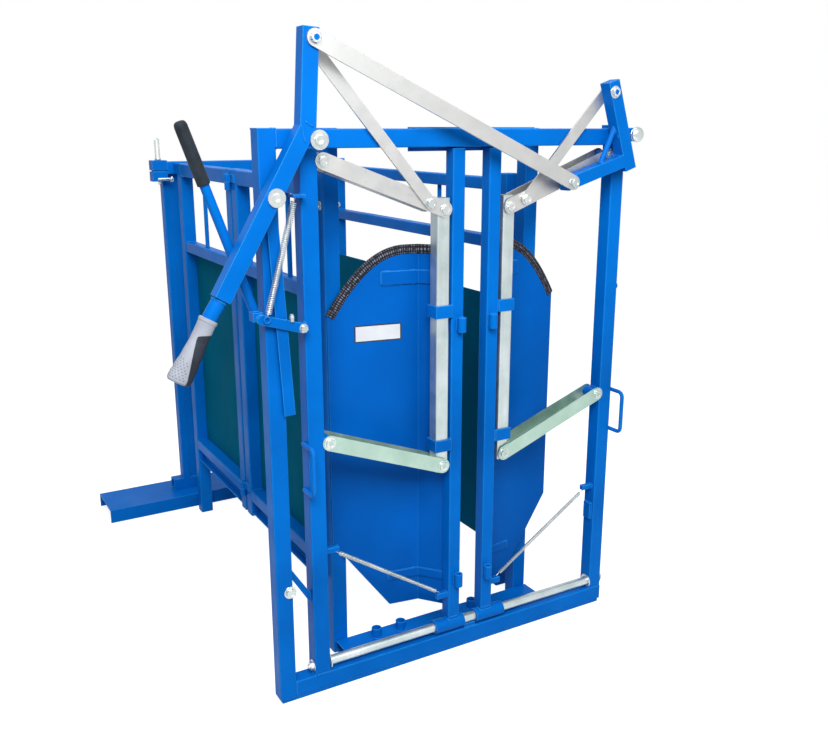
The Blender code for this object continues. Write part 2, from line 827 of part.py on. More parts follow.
def coil(name, start, end, radius, wire, curls, lead):
    """One unbroken wire: straight lead, even curls round the line between the ends, straight lead."""
    start = Vector(start)
    end = Vector(end)
    along = (end - start).normalized()
    aside = along.orthogonal().normalized()
    across = along.cross(aside)
    length = (end - start).length
    points = [start, start + along * lead]
    body = length - 2 * lead - 4 * wire
    for step in range(8 * curls + 1):
        turn = math.pi / 4 * step
        middle = start + along * (lead + 2 * wire + body * step / (8 * curls))
        points.append(middle + (aside * math.cos(turn) + across * math.sin(turn)) * radius)
    points.append(end - along * lead)
    points.append(end)
    swept(name, points, wire, ZINC, 6)
    least = length
    for index, spot in enumerate(points):
        for other in points[index + 5 :]:
            least = min(least, (spot - other).length)
    print(name, "least gap to itself, mm:", round(1000 * (least - 2 * wire), 2))


coil(
    "latch_spring",
    (LEFT_FACE - 0.0200, -0.0370, 1.118 - SEAT),
    (LEFT_FACE - 0.0865, -0.0370, 0.8875),
    0.0058,
    0.0012,
    28,
    0.018,
)
for side, word in ((-1, "left"), (1, "right")):
    coil(
        word + "_leaf_spring",
        (side * (PORTAL_HALF - 0.0635), -0.004, 0.3332),
        (side * (LEAF_X + 0.0363), -0.004, SPRING_LUG_Z + 0.0015),
        0.0040,
        0.0012,
        17,
        0.070,
    )

# Body

FRAME_Y = 0.1118
front_sill = square_tube(
    "front_sill", (-0.310, 0.045, SKID), (0.265, FRAME_Y - SEAT, 0.033), "x"
)
join(
    front_sill,
    box((-0.262, HALF + SEAT, SKID + 0.002), (-0.222, 0.0465, 0.030)),
    box((0.200, HALF + SEAT, SKID + 0.002), (0.240, 0.0465, 0.030)),
)

for name, x in (("front_left_post", -0.295), ("front_right_post", BODY_RIGHT)):
    post = square_tube(name, (x - HALF, FRAME_Y, 0), (x + HALF, FRAME_Y + PORTAL, BEAM_TOP), "z")
    join(
        post,
        box(
            (x - 0.012, HALF + SEAT, BEAM_LOW + 0.006),
            (x + 0.012, FRAME_Y + 0.001, BEAM_TOP - 0.006),
        ),
    )

REAR_Y = 1.1915
NEAR_END = REAR_Y - 0.0912
CHANNEL_FRONT = REAR_Y - 0.0265
CHANNEL_BACK = REAR_Y + 0.1385
BEAM_HIGH = WALL_TOP + 0.004
far_in = BODY_RIGHT - HALF
far_out = BODY_RIGHT + HALF
square_tube(
    "far_front_post", (far_in, 0.190, 0), (far_out, 0.190 + PORTAL, WALL_TOP - 0.006), "z"
)
CHANNEL_TOP = 0.044
square_tube(
    "far_rear_post",
    (far_in, REAR_Y, CHANNEL_TOP + SEAT),
    (far_out, REAR_Y + PORTAL, BEAM_HIGH),
    "z",
)
far_top = square_tube(
    "far_top_rail",
    (BODY_RIGHT - LEAF_HALF, 0.190 + PORTAL + SEAT, WALL_TOP - 0.018 - LEAF),
    (BODY_RIGHT + LEAF_HALF, REAR_Y - SEAT, WALL_TOP - 0.018),
    "y",
)
join(
    far_top,
    rod((BODY_RIGHT, 0.540, WALL_TOP - 0.048), (BODY_RIGHT, 0.540, 0.977 + SEAT), 0.006, 12),
)
far_mid = square_tube(
    "far_mid_rail",
    (BODY_RIGHT - LEAF_HALF, 0.190 + PORTAL + SEAT, 0.9452),
    (BODY_RIGHT + LEAF_HALF, REAR_Y - SEAT, 0.977),
    "y",
)
square_tube(
    "far_stub_rail",
    (BODY_RIGHT - LEAF_HALF, FRAME_Y + PORTAL + SEAT, 0.9452),
    (BODY_RIGHT + LEAF_HALF, 0.190 - SEAT, 0.977),
    "y",
)
node(
    "far_sheet",
    box((far_in - SEAT - SHEET, 0.195, 0.125), (far_in - SEAT, REAR_Y + 0.032, 0.825)),
    BLUE,
)

BEAM_END = BODY_LEFT - 0.032
square_tube(
    "rear_top_beam",
    (BEAM_END, REAR_Y, BEAM_HIGH - PORTAL),
    (far_in - SEAT, REAR_Y + PORTAL, BEAM_HIGH),
    "x",
)
CHANNEL_THICK = 0.004
channel_section = [
    (CHANNEL_FRONT, 0),
    (CHANNEL_FRONT, CHANNEL_TOP),
    (CHANNEL_BACK, CHANNEL_TOP),
    (CHANNEL_BACK, 0),
    (CHANNEL_BACK - CHANNEL_THICK, 0),
    (CHANNEL_BACK - CHANNEL_THICK, CHANNEL_TOP - CHANNEL_THICK),
    (CHANNEL_FRONT + CHANNEL_THICK, CHANNEL_TOP - CHANNEL_THICK),
    (CHANNEL_FRONT + CHANNEL_THICK, 0),
]
node("base_channel", prism(channel_section, "x", BODY_LEFT - 0.302, BODY_RIGHT + 0.020), BLUE)

TUBES_Y = REAR_Y + PORTAL + SEAT
TUBES_X = BODY_LEFT - 0.0395
TUBES_TOP = WALL_TOP - 0.0045
tubes = square_tube(
    "rear_left_tubes",
    (TUBES_X, TUBES_Y, 0.080),
    (TUBES_X + 0.0254, TUBES_Y + PORTAL, TUBES_TOP),
    "z",
)
join(
    tubes,
    box(
        (TUBES_X + 0.0247, TUBES_Y + 0.0040, 0.081),
        (TUBES_X + 0.0508, TUBES_Y + PORTAL - 0.0005, TUBES_TOP - 0.0005),
    ),
    box(
        (TUBES_X - 0.0330, TUBES_Y, CHANNEL_TOP + SEAT),
        (TUBES_X + 0.0508, TUBES_Y + PORTAL, 0.0824),
    ),
)
cut(
    tubes,
    box(
        (TUBES_X + 0.0274, TUBES_Y + 0.0040 + WALL, 0.084),
        (TUBES_X + 0.0488, TUBES_Y + PORTAL - WALL, TUBES_TOP + 0.01),
    ),
    box(
        (TUBES_X - 0.0430, TUBES_Y + WALL, 0.0463),
        (TUBES_X + 0.0488, TUBES_Y + PORTAL - WALL, 0.0800),
    ),
)

PIN_SPOT = (BEAM_END - 0.0235, REAR_Y + HALF)
BLOCK_TOP = BEAM_HIGH + 0.004
BLOCK_END = BEAM_END - 0.047
block = node(
    "connector_block",
    box((BLOCK_END, REAR_Y, BLOCK_TOP - 0.030), (BEAM_END - SEAT, REAR_Y + PORTAL, BLOCK_TOP)),
    BLUE,
)
join(
    block,
    box(
        (BLOCK_END, REAR_Y, BLOCK_TOP - 0.064),
        (BEAM_END - SEAT, REAR_Y + PORTAL, BLOCK_TOP - 0.034),
    ),
    box(
        (BLOCK_END + 0.005, REAR_Y + 0.004, BLOCK_TOP - 0.035),
        (BEAM_END - 0.004, REAR_Y + PORTAL - 0.004, BLOCK_TOP - 0.029),
    ),
)
cut(block, rod((*PIN_SPOT, BLOCK_TOP - 0.072), (*PIN_SPOT, BLOCK_TOP + 0.008), 0.005 + RUN, 16))
drop = node(
    "drop_pin",
    rod((*PIN_SPOT, BLOCK_TOP - 0.074), (*PIN_SPOT, BLOCK_TOP + 0.064), 0.005, 16),
    ZINC,
    (*PIN_SPOT, BLOCK_TOP),
)
join(
    drop,
    rod((*PIN_SPOT, BLOCK_TOP + SEAT), (*PIN_SPOT, BLOCK_TOP + 0.006), 0.009, 16),
    rod(
        (PIN_SPOT[0] - 0.013, PIN_SPOT[1], BLOCK_TOP + 0.058),
        (PIN_SPOT[0] + 0.013, PIN_SPOT[1], BLOCK_TOP + 0.058),
        0.004,
        12,
    ),
)

# Near wall: a fixed rear frame and the side door in front of it

near_out = BODY_LEFT - HALF
near_in = BODY_LEFT + HALF
SPLIT = 0.643
LOW = 0.180
HINGE = (near_out - 0.008, SPLIT)
HINGE_HEIGHTS = (0.232, 1.092)
KNUCKLE = 0.020


def wall_post(name, y, low, origin=(0, 0, 0)):
    return square_tube(
        name, (near_out, y, low), (near_in, y + PORTAL, WALL_TOP), "z", BLUE, origin
    )


def wall_rails(word, start, end, bar_y, origin=(0, 0, 0)):
    """The top rail with its thin bar, the rail over the sheet, the sill and the sheet of one frame."""
    top = square_tube(
        word + "_top_rail",
        (near_out, start + SEAT, WALL_TOP - PORTAL),
        (near_in, end - SEAT, WALL_TOP),
        "y",
        BLUE,
        origin,
    )
    middle = BODY_LEFT
    join(top, rod((middle, bar_y, WALL_TOP - PORTAL + 0.001), (middle, bar_y, 0.908 + SEAT), 0.006, 12))
    square_tube(
        word + "_sheet_rail",
        (near_out + 0.003, start + SEAT, 0.8762),
        (near_in - 0.003, end - SEAT, 0.908),
        "y",
        BLUE,
        origin,
    )
    sill = square_tube(
        word + "_sill",
        (near_out, start + SEAT, 0.226),
        (near_in, end - SEAT, 0.258),
        "y",
        BLUE,
        origin,
    )
    join(
        sill,
        box((near_in - 0.016, start + SEAT, 0.186), (near_in - 0.013, end - SEAT, 0.227)),
        box((near_out + 0.004, start + SEAT, 0.186), (near_in - 0.0135, end - SEAT, 0.189)),
    )
    node(
        word + "_sheet",
        box((near_in - 0.0045, start + SEAT, 0.258 + SEAT), (near_in - 0.0015, end - SEAT, 0.8762 - SEAT)),
        BLUE,
        origin,
    )


rear_post = wall_post("near_rear_post", NEAR_END, 0)
tie_start = NEAR_END + PORTAL - 0.001
join(
    rear_post,
    box(
        (near_out + 0.006, tie_start, WALL_TOP - 0.032),
        (near_in - 0.006, REAR_Y - SEAT, WALL_TOP - 0.002),
    ),
    box((near_out + 0.006, tie_start, 0.006), (near_in - 0.006, CHANNEL_FRONT - SEAT, 0.036)),
)
mid_post = wall_post("near_mid_post", SPLIT + 0.005, LOW)
wall_rails("near", SPLIT + 0.005 + PORTAL, NEAR_END, 0.930)

DOOR_ORIGIN = (HINGE[0], HINGE[1], HINGE_HEIGHTS[0])
door_rear = wall_post("door_rear_post", SPLIT - 0.005 - PORTAL, LOW, DOOR_ORIGIN)
door_front = wall_post("door_front_post", 0.160, LOW, DOOR_ORIGIN)
wall_rails("door", 0.160 + PORTAL, SPLIT - 0.005 - PORTAL, 0.300, DOOR_ORIGIN)

for height in HINGE_HEIGHTS:
    join(
        mid_post,
        box((near_out - 0.004, SPLIT, height), (near_out + 0.001, SPLIT + 0.034, height + KNUCKLE)),
        rod((*HINGE, height), (*HINGE, height + KNUCKLE), 0.008, 16),
        rod((*HINGE, height), (*HINGE, height + 2 * KNUCKLE + 0.004), 0.0045, 16),
    )
    moving_low = height + KNUCKLE + SEAT
    join(
        door_rear,
        box((near_out - 0.004, SPLIT - 0.034, moving_low), (near_out + 0.001, SPLIT, moving_low + KNUCKLE)),
        rod((*HINGE, moving_low), (*HINGE, moving_low + KNUCKLE), 0.008, 16),
    )
    cut(
        door_rear,
        rod(
            (*HINGE, moving_low - 0.002),
            (*HINGE, moving_low + KNUCKLE + 0.002),
            0.0045 + RUN,
            16,
        ),
    )
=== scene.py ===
"""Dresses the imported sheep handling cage: paint, plating, rubber, welds, bolts, springs and grips.

Metres in the model's frame: X to the right, Y to the rear, Z up. Every new piece is a surface that
numpy works out on a grid of two parameters, one along the piece and one around it.
"""

import math

import bmesh
import bpy
import numpy as np
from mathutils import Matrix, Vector


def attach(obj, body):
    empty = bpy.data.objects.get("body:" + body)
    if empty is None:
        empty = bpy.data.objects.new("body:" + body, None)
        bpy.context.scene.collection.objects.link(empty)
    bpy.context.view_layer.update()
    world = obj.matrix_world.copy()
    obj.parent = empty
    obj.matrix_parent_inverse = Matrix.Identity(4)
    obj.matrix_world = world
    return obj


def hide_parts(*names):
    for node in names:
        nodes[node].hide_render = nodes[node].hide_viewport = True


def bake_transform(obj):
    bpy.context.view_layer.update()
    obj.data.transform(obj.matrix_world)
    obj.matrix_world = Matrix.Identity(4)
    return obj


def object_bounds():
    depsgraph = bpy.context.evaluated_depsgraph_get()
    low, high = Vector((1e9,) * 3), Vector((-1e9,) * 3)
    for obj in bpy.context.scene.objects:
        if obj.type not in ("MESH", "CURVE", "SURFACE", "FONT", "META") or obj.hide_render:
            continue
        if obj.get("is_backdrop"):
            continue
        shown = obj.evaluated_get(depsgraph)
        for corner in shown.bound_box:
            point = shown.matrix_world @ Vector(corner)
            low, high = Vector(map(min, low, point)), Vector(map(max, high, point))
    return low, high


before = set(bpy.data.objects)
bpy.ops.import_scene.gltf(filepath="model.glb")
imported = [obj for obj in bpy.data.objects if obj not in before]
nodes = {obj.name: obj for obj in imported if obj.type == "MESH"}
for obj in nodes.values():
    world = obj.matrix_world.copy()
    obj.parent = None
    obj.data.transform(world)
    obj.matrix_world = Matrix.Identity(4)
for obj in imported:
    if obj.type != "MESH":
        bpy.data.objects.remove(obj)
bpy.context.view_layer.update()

# Shapes


def unit(rows):
    """Each row divided by its own length."""
    rows = np.asarray(rows, float)
    return rows / np.maximum(np.linalg.norm(rows, axis=-1, keepdims=True), 1e-12)


def skin(rings, closed=False):
    """Joins rings of points, given as an array (along, around, 3), with four-sided faces.

    Point (i, j) meets (i+1, j), (i+1, j+1) and (i, j+1); the count around wraps, the count along
    wraps when closed, and otherwise each end ring becomes one flat face.
    """
    rings = np.asarray(rings, float)
    along, around = rings.shape[:2]
    index = np.arange(along * around).reshape(along, around)
    upper = np.roll(index, -1, axis=0) if closed else index[1:]
    lower = index if closed else index[:-1]
    quads = np.stack([lower, np.roll(lower, -1, axis=1), np.roll(upper, -1, axis=1), upper], axis=-1)
    faces = quads.reshape(-1, 4).tolist()
    if not closed:
        faces.append(index[0][::-1].tolist())
        faces.append(index[-1].tolist())
    return rings.reshape(-1, 3), faces


def merged(parts):
    """Several point and face lists as one, each one's face numbers raised by the points before it."""
    spots = np.concatenate([np.asarray(part[0], float) for part in parts])
    faces = []
    start = 0
    for points, polygons in parts:
        faces += [[start + corner for corner in polygon] for polygon in polygons]
        start += len(points)
    return spots, faces


def outwards(mesh):
    """Turns every closed shell so that its faces point away from its inside."""
    form = bmesh.new()
    form.from_mesh(mesh)
    bmesh.ops.recalc_face_normals(form, faces=form.faces)
    form.to_mesh(mesh)
    form.free()


def placed(name, data):
    """A new object of the scene that shows the data."""
    made = bpy.data.objects.new(name, data)
    bpy.context.scene.collection.objects.link(made)
    return made


def piece(name, parts, material, body, smooth=35.0):
    """One named object from the parts, with its finish, that rides on the body if one is named."""
    spots, faces = merged(parts)
    mesh = bpy.data.meshes.new(name)
    mesh.from_pydata(spots.tolist(), [], faces)
    outwards(mesh)
    mesh.materials.append(material)
    made = placed(name, mesh)
    if smooth:
        mesh.shade_smooth()
        mesh.set_sharp_from_angle(angle=math.radians(smooth))
    if body:
        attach(made, body)
    return made


def mark(made, name, values):
    """Stores one number for each point of a piece, which its finish reads by name."""
    layer = made.data.attributes.new(name, "FLOAT", "POINT")
    layer.data.foreach_set("value", values.astype(np.float32).ravel())


def frames(path, side):
    """Two unit directions across a path: the given side made square to its tangents, and their cross."""
    path = np.asarray(path, float)
    tangent = unit(np.gradient(path, axis=0))
    side = np.broadcast_to(np.asarray(side, float), path.shape)
    side = unit(side - tangent * np.sum(side * tangent, axis=1, keepdims=True))
    return side, np.cross(tangent, side)


def round_bar(path, side, radius, sides, closed=False):
    """A circle carried along a path: path + radius (cos v side + sin v cross), radius free to vary."""
    path = np.asarray(path, float)
    if closed:
        around = np.concatenate([path[-1:], path, path[:1]])
        first, second = (row[1:-1] for row in frames(around, side))
    else:
        first, second = frames(path, side)
    turn = np.linspace(0, 2 * math.pi, sides, endpoint=False)
    radius = np.broadcast_to(np.asarray(radius, float), (len(path),))[:, None, None]
    ring = np.cos(turn)[None, :, None] * first[:, None] + np.sin(turn)[None, :, None] * second[:, None]
    return skin(path[:, None] + radius * ring, closed)


def line(start, end, count):
    """Even points from start to end."""
    share = np.linspace(0, 1, count)[:, None]
    return np.asarray(start, float) * (1 - share) + np.asarray(end, float) * share


def bent(corners, radius, steps=7):
    """A line through the corners with each inner corner rounded to an arc of the radius."""
    corners = [np.asarray(corner, float) for corner in corners]
    points = [corners[0]]
    for before, here, after in zip(corners, corners[1:], corners[2:]):
        back = unit(before - here)
        ahead = unit(after - here)
        half = math.acos(float(np.clip(back @ ahead, -1, 1))) / 2
        reach = radius / math.tan(half)
        centre = here + unit(back + ahead) * (radius / math.sin(half))
        start = here + back * reach - centre
        end = here + ahead * reach - centre
        swing = math.pi - 2 * half
        share = np.linspace(0, 1, steps)
        arc = (
            np.sin((1 - share) * swing)[:, None] * start + np.sin(share * swing)[:, None] * end
        ) / math.sin(swing)
        points.extend(centre + arc)
    points.append(corners[-1])
    return np.array(points)


X_WAY, Y_WAY, Z_WAY = np.eye(3)
# For each axis, two directions across it and the axis itself
AXES = {"x": (Y_WAY, Z_WAY, X_WAY), "y": (X_WAY, Z_WAY, Y_WAY), "z": (X_WAY, Y_WAY, Z_WAY)}


def circle(sides, first, second):
    """The points of a unit circle, (sides, 3): cos v first + sin v second."""
    turn = np.linspace(0, 2 * math.pi, sides, endpoint=False)[:, None]
    return np.cos(turn) * first + np.sin(turn) * second


def lathe(centre, profile, axis, sides, twist=0.0):
    """A profile of (place along the axis, radius, hexagon share) turned round an axis.

    The radius at angle v is the profile's, times a mix of 1 and the six-sided outline
    cos 30 / cos((v + twist) mod 60 - 30), by the hexagon share.
    """
    first, second, along = AXES[axis]
    rows = np.array([(row + (0.0,))[:3] for row in profile], float)
    turn = np.linspace(0, 2 * math.pi, sides, endpoint=False)
    spread = math.cos(math.pi / 6) / np.cos((turn + twist) % (math.pi / 3) - math.pi / 6)
    radius = rows[:, 1:2] * (1 + rows[:, 2:3] * (spread[None] - 1))
    middle = np.asarray(centre, float) + rows[:, 0, None, None] * along
    return skin(middle + radius[..., None] * circle(sides, first, second))


def slanting_lathe(start, way, aside, rows, sides):
    """A profile of (length run, radius) turned round a slanting line that keeps one Y."""
    rows = np.asarray(rows, float)
    return skin(start + rows[:, 0, None, None] * way + rows[:, 1, None, None] * circle(sides, aside, Y_WAY))


def hex_bolt(x, z, back, front, across, twist, washer):
    """A six-sided head seen from the front: flat sides, a chamfered crown, a dish, and a washer if any."""
    deep = back - front
    rows = [
        (back, across * 0.99, 1.0),
        (back - deep * 0.70, across, 1.0),
        (front + deep * 0.08, across * 0.93, 0.55),
        (front, across * 0.80, 0.0),
        (front, across * 0.55, 0.0),
        (front + deep * 0.07, across * 0.50, 0.0),
        (front + deep * 0.07, 0.0004, 0.0),
    ]
    parts = [lathe((x, 0, z), rows, "y", 48, twist)]
    if washer:
        parts.append(ring_disc((x, back - 0.0006, z), "y", washer, across * 0.5, 0.0012))
    return parts


def sleeve(centre, axis, outer, inner, low, high, sides=32):
    """An open tube: outer wall, soft rim, inner wall and soft rim turned round the axis, closed."""
    soft = min(outer - inner, high - low) * 0.25
    loop = np.array(
        [
            (low, inner + soft),
            (low, outer - soft),
            (low + soft, outer),
            (high - soft, outer),
            (high, outer - soft),
            (high, inner + soft),
            (high - soft, inner),
            (low + soft, inner),
        ]
    )
    first, second, along = AXES[axis]
    ring = circle(sides, first, second)
    rings = loop[None, :, 0, None] * along + loop[None, :, 1, None] * ring[:, None]
    return skin(rings + np.asarray(centre, float), closed=True)


def ring_disc(centre, axis, outer, inner, thick):
    """A flat washer: a short sleeve of this thickness about its centre."""
    return sleeve(centre, axis, outer, inner, -thick / 2, thick / 2, 40)


WELD_SIZE = 0.0021
DROP_LENGTH = 0.0034
DROP_SWELL = 0.20
WANDER = 0.10
END_SHARE = 0.18


def weld(start, end, side, size=WELD_SIZE):
    """A weld bead: a bar whose radius goes up and down like overlapping drops, thin at both ends.

    On the drops lies a slow wander, which starts at another point for each place of the bead.
    """
    start = np.asarray(start, float)
    end = np.asarray(end, float)
    length = float(np.linalg.norm(end - start))
    drops = max(3, int(length / DROP_LENGTH))
    share = np.linspace(0, 1, drops * 4 + 1)
    wave = 1 - DROP_SWELL + DROP_SWELL * np.abs(np.sin(math.pi * drops * share))
    wander = WANDER * np.sin(11.0 * share + 40 * start[2] + 17 * start[0])
    taper = np.clip(np.minimum(share, 1 - share) * drops, END_SHARE, 1)
    return round_bar(line(start, end, len(share)), side, size * (wave + wander) * taper, 8)


def weld_box(low, high, plane, size=WELD_SIZE):
    """Four weld beads round a rectangle that lies square to the axis named by plane."""
    first, second, side = AXES[plane]
    corners = [np.where(mask > 0, high, low) for mask in (0 * side, first, first + second, second)]
    return [weld(corners[k], corners[(k + 1) % 4], side, size) for k in range(4)]


def weld_ring(centre, first, second, reach, side, size, drops, sides=64):
    """A weld bead round a rod: a ring of radius reach, whose thickness swells drops times on its way."""
    turn = np.linspace(0, 2 * math.pi, sides, endpoint=False)
    path = np.asarray(centre, float) + reach * circle(sides, first, second)
    return round_bar(path, side, size * (0.85 + 0.15 * np.sin(turn * drops)), 8, closed=True)


def slab(low, high, soft=0.0006):
    """A box with softened edges: rounded-corner outlines in X and Y, stacked in Z."""
    low = np.asarray(low, float)
    high = np.asarray(high, float)
    half = (high - low) / 2
    middle = (high + low) / 2
    turn = np.linspace(0, 2 * math.pi, 16, endpoint=False) + math.pi / 16
    arc = np.stack([np.cos(turn), np.sin(turn)], axis=1)
    core = np.sign(arc) * (half[:2] - soft)
    rows = []
    for height, grow in ((-half[2], 0), (-half[2] + soft, soft), (half[2] - soft, soft), (half[2], 0)):
        rows.append(np.column_stack([core + arc * grow, np.full(16, height)]))
    return skin(np.array(rows) + middle)


# Finishes


class Finish:
    """A new material, with short ways to add its nodes and to feed its shader."""

    def __init__(self, name):
        self.made = bpy.data.materials.new(name)
        self.made.use_nodes = True
        self.tree = self.made.node_tree
        self.shader = self.tree.nodes["Principled BSDF"]
        self.place = self.add("ShaderNodeTexCoord").outputs["Object"]

    def feed(self, socket, value):
        """Links a node's output to the socket, or sets a plain value on it."""
        if isinstance(value, bpy.types.NodeSocket):
            self.tree.links.new(value, socket)
        else:
            socket.default_value = value

    def add(self, kind, inputs=None, **settings):
        """A new node, its inputs fed by name or by number."""
        fresh = self.tree.nodes.new(kind)
        for key, value in settings.items():
            setattr(fresh, key, value)
        for key, value in (inputs or {}).items():
            self.feed(fresh.inputs[key], value)
        return fresh

    def shade(self, name, value):
        """Feeds one input of the shader."""
        self.feed(self.shader.inputs[name], value)

    def ramp(self, source, stops):
        """A ramp over the source; each stop is a position with a colour or a single level."""
        fresh = self.add("ShaderNodeValToRGB", {"Fac": source})
        while len(fresh.color_ramp.elements) < len(stops):
            fresh.color_ramp.elements.new(0.5)
        for element, (position, tone) in zip(fresh.color_ramp.elements, stops):
            element.position = position
            element.color = (*tone, 1) if isinstance(tone, tuple) else (tone, tone, tone, 1)
        return fresh.outputs["Color"]

    def mix(self, share, one, two):
        """Colour one turned into colour two by the share."""
        return self.add("ShaderNodeMix", {0: share, 6: one, 7: two}, data_type="RGBA").outputs[2]

    def sums(self, kind, one, two=0.0):
        """The result of one math node."""
        return self.add("ShaderNodeMath", {0: one, 1: two}, operation=kind).outputs[0]

    def noise(self, scale, detail=3.0, rough=0.55, vector=None):
        """Noise over the object's own coordinates, or over the given vector."""
        where = self.place if vector is None else vector
        inputs = {"Vector": where, "Scale": scale, "Detail": detail, "Roughness": rough}
        return self.add("ShaderNodeTexNoise", inputs).outputs["Fac"]

    def bump(self, strength, distance, height, normal=None):
        """A bumped normal, on top of another where one is given."""
        inputs = {"Strength": strength, "Distance": distance, "Height": height}
        if normal is not None:
            inputs["Normal"] = normal
        return self.add("ShaderNodeBump", inputs).outputs["Normal"]


# Pale blue of the painted highlight on rounded edges and inner corners, partly rubbed paint
EDGE_HIGHLIGHT_BLUE = (0.06, 0.46, 0.92)


def paint(name, deep, main, light, gloss=0.36, grain=0.05, edge_highlight=0.85, fleck=0.25, bend=1.16):
    """Stove paint on welded steel: drifts of tone, rounded edges and inner corners made paler by a painted
    highlight with some rubbed paint, dark specks, fine peel.
    """
    look = Finish(name)
    base = look.ramp(look.noise(2.6, 4.0), [(0.30, deep), (0.52, main), (0.74, light)])
    edge = look.add("ShaderNodeBevel", {"Radius": 0.0030}, samples=6).outputs["Normal"]
    facing = look.add("ShaderNodeNewGeometry").outputs["Normal"]
    alike = look.add("ShaderNodeVectorMath", {0: edge, 1: facing}, operation="DOT_PRODUCT").outputs["Value"]
    # Where the bevelled normal leaves the face's own, at edges and inner corners, the colour turns paler: a
    # painted highlight, partly rubbed paint
    corner = look.sums("SUBTRACT", 1.0, alike)
    edge_highlight_mask = look.sums("MULTIPLY", corner, look.sums("ADD", look.noise(30.0, 5.0), 0.30))
    edge_highlight_share = look.ramp(edge_highlight_mask, [(0.012, 0.0), (0.11, 1.0)])
    pale = tuple(0.35 * value + 0.65 * rub for value, rub in zip(light, EDGE_HIGHLIGHT_BLUE))
    edged = look.mix(look.sums("MULTIPLY", edge_highlight_share, edge_highlight), base, (*pale, 1))
    specks = look.ramp(look.noise(190.0, 2.0), [(0.745, 0.0), (0.775, 1.0)])
    dark = tuple(value * 0.45 for value in deep)
    look.shade("Base Color", look.mix(look.sums("MULTIPLY", specks, fleck), edged, (*dark, 1)))
    dull = look.noise(9.0, 5.0, 0.62)
    look.shade("Roughness", look.ramp(dull, [(0.25, gloss - 0.06), (0.75, gloss + 0.14)]))
    look.shade("IOR", bend)
    look.shade("Specular IOR Level", 0.35)
    peel = look.bump(grain, 0.0006, look.noise(330.0, 2.0), edge)
    look.shade("Normal", look.bump(0.10, 0.002, look.noise(28.0, 2.0), peel))
    return look.made


def plate(name, pale, cool, rough_low, rough_high, stretch=(1, 1, 1), lines=0.28):
    """Bright zinc on steel: cloudy passivation, long rolling marks, dull spots and faint dents."""
    look = Finish(name)
    long = look.add("ShaderNodeMapping", {"Vector": look.place, "Scale": stretch}).outputs["Vector"]
    base = look.ramp(look.noise(17.0, 5.0, 0.6), [(0.30, cool), (0.68, pale)])
    streak = look.noise(160.0, 3.0, vector=long)
    streak_share = look.ramp(streak, [(0.35, 0.0), (0.75, 1.0)])
    lined = look.mix(look.sums("MULTIPLY", streak_share, lines), base, (*cool, 1))
    spots = look.ramp(look.noise(120.0, 2.0), [(0.70, 0.0), (0.76, 1.0)])
    spot_tone = tuple(0.55 * value for value in cool)
    look.shade("Base Color", look.mix(look.sums("MULTIPLY", spots, 0.4), lined, (*spot_tone, 1)))
    look.shade("Metallic", 0.85)
    look.shade("Roughness", look.ramp(look.noise(34.0, 5.0), [(0.3, rough_low), (0.7, rough_high)]))
    look.shade("Normal", look.bump(0.16, 0.0005, look.sums("ADD", streak, look.noise(60.0, 3.0))))
    return look.made


def knurled_rubber():
    """Black edge trim: crossed rows of small raised studs in rubber, each top paler with grey dust and a
    painted bluish highlight.
    """
    look = Finish("trim_rubber")
    weave = look.add("ShaderNodeUVMap", uv_map="weave").outputs["UV"]
    parts = look.add("ShaderNodeSeparateXYZ", {"Vector": weave}).outputs
    one = look.sums("SINE", look.sums("ADD", parts["X"], parts["Y"]))
    two = look.sums("SINE", look.sums("SUBTRACT", parts["X"], parts["Y"]))
    studs = look.sums("MULTIPLY", one, two)
    tops = look.ramp(studs, [(0.10, 0.0), (0.60, 1.0)])
    # Pale bluish stud tops, broken up by noise: dust together with a painted highlight
    dust_and_highlight = look.sums("MULTIPLY", tops, look.ramp(look.noise(150.0, 4.0), [(0.38, 0.05), (0.62, 1.0)]))
    look.shade("Base Color", look.mix(dust_and_highlight, (0.006, 0.006, 0.010, 1), (0.25, 0.27, 0.35, 1)))
    look.shade("Roughness", look.ramp(look.noise(40.0), [(0.3, 0.55), (0.7, 0.8)]))
    look.shade("Specular IOR Level", 0.25)
    look.shade("Normal", look.bump(0.75, 0.0011, studs))
    return look.made


def foam_rubber():
    """Black closed-cell foam: small pores, soft mottling and a dry sheen."""
    look = Finish("foam_sleeve")
    pores = look.add("ShaderNodeTexVoronoi", {"Vector": look.place, "Scale": 900.0}).outputs["Distance"]
    tones = [(0.3, (0.008, 0.012, 0.018)), (0.7, (0.018, 0.026, 0.036))]
    look.shade("Base Color", look.ramp(look.noise(38.0, 4.0), tones))
    look.shade("Roughness", look.ramp(look.noise(80.0), [(0.3, 0.62), (0.7, 0.86)]))
    look.shade("Specular IOR Level", 0.22)
    look.shade("Sheen Weight", 0.06)
    look.shade("Sheen Roughness", 0.4)
    look.shade("Normal", look.bump(0.35, 0.0005, pores))
    return look.made


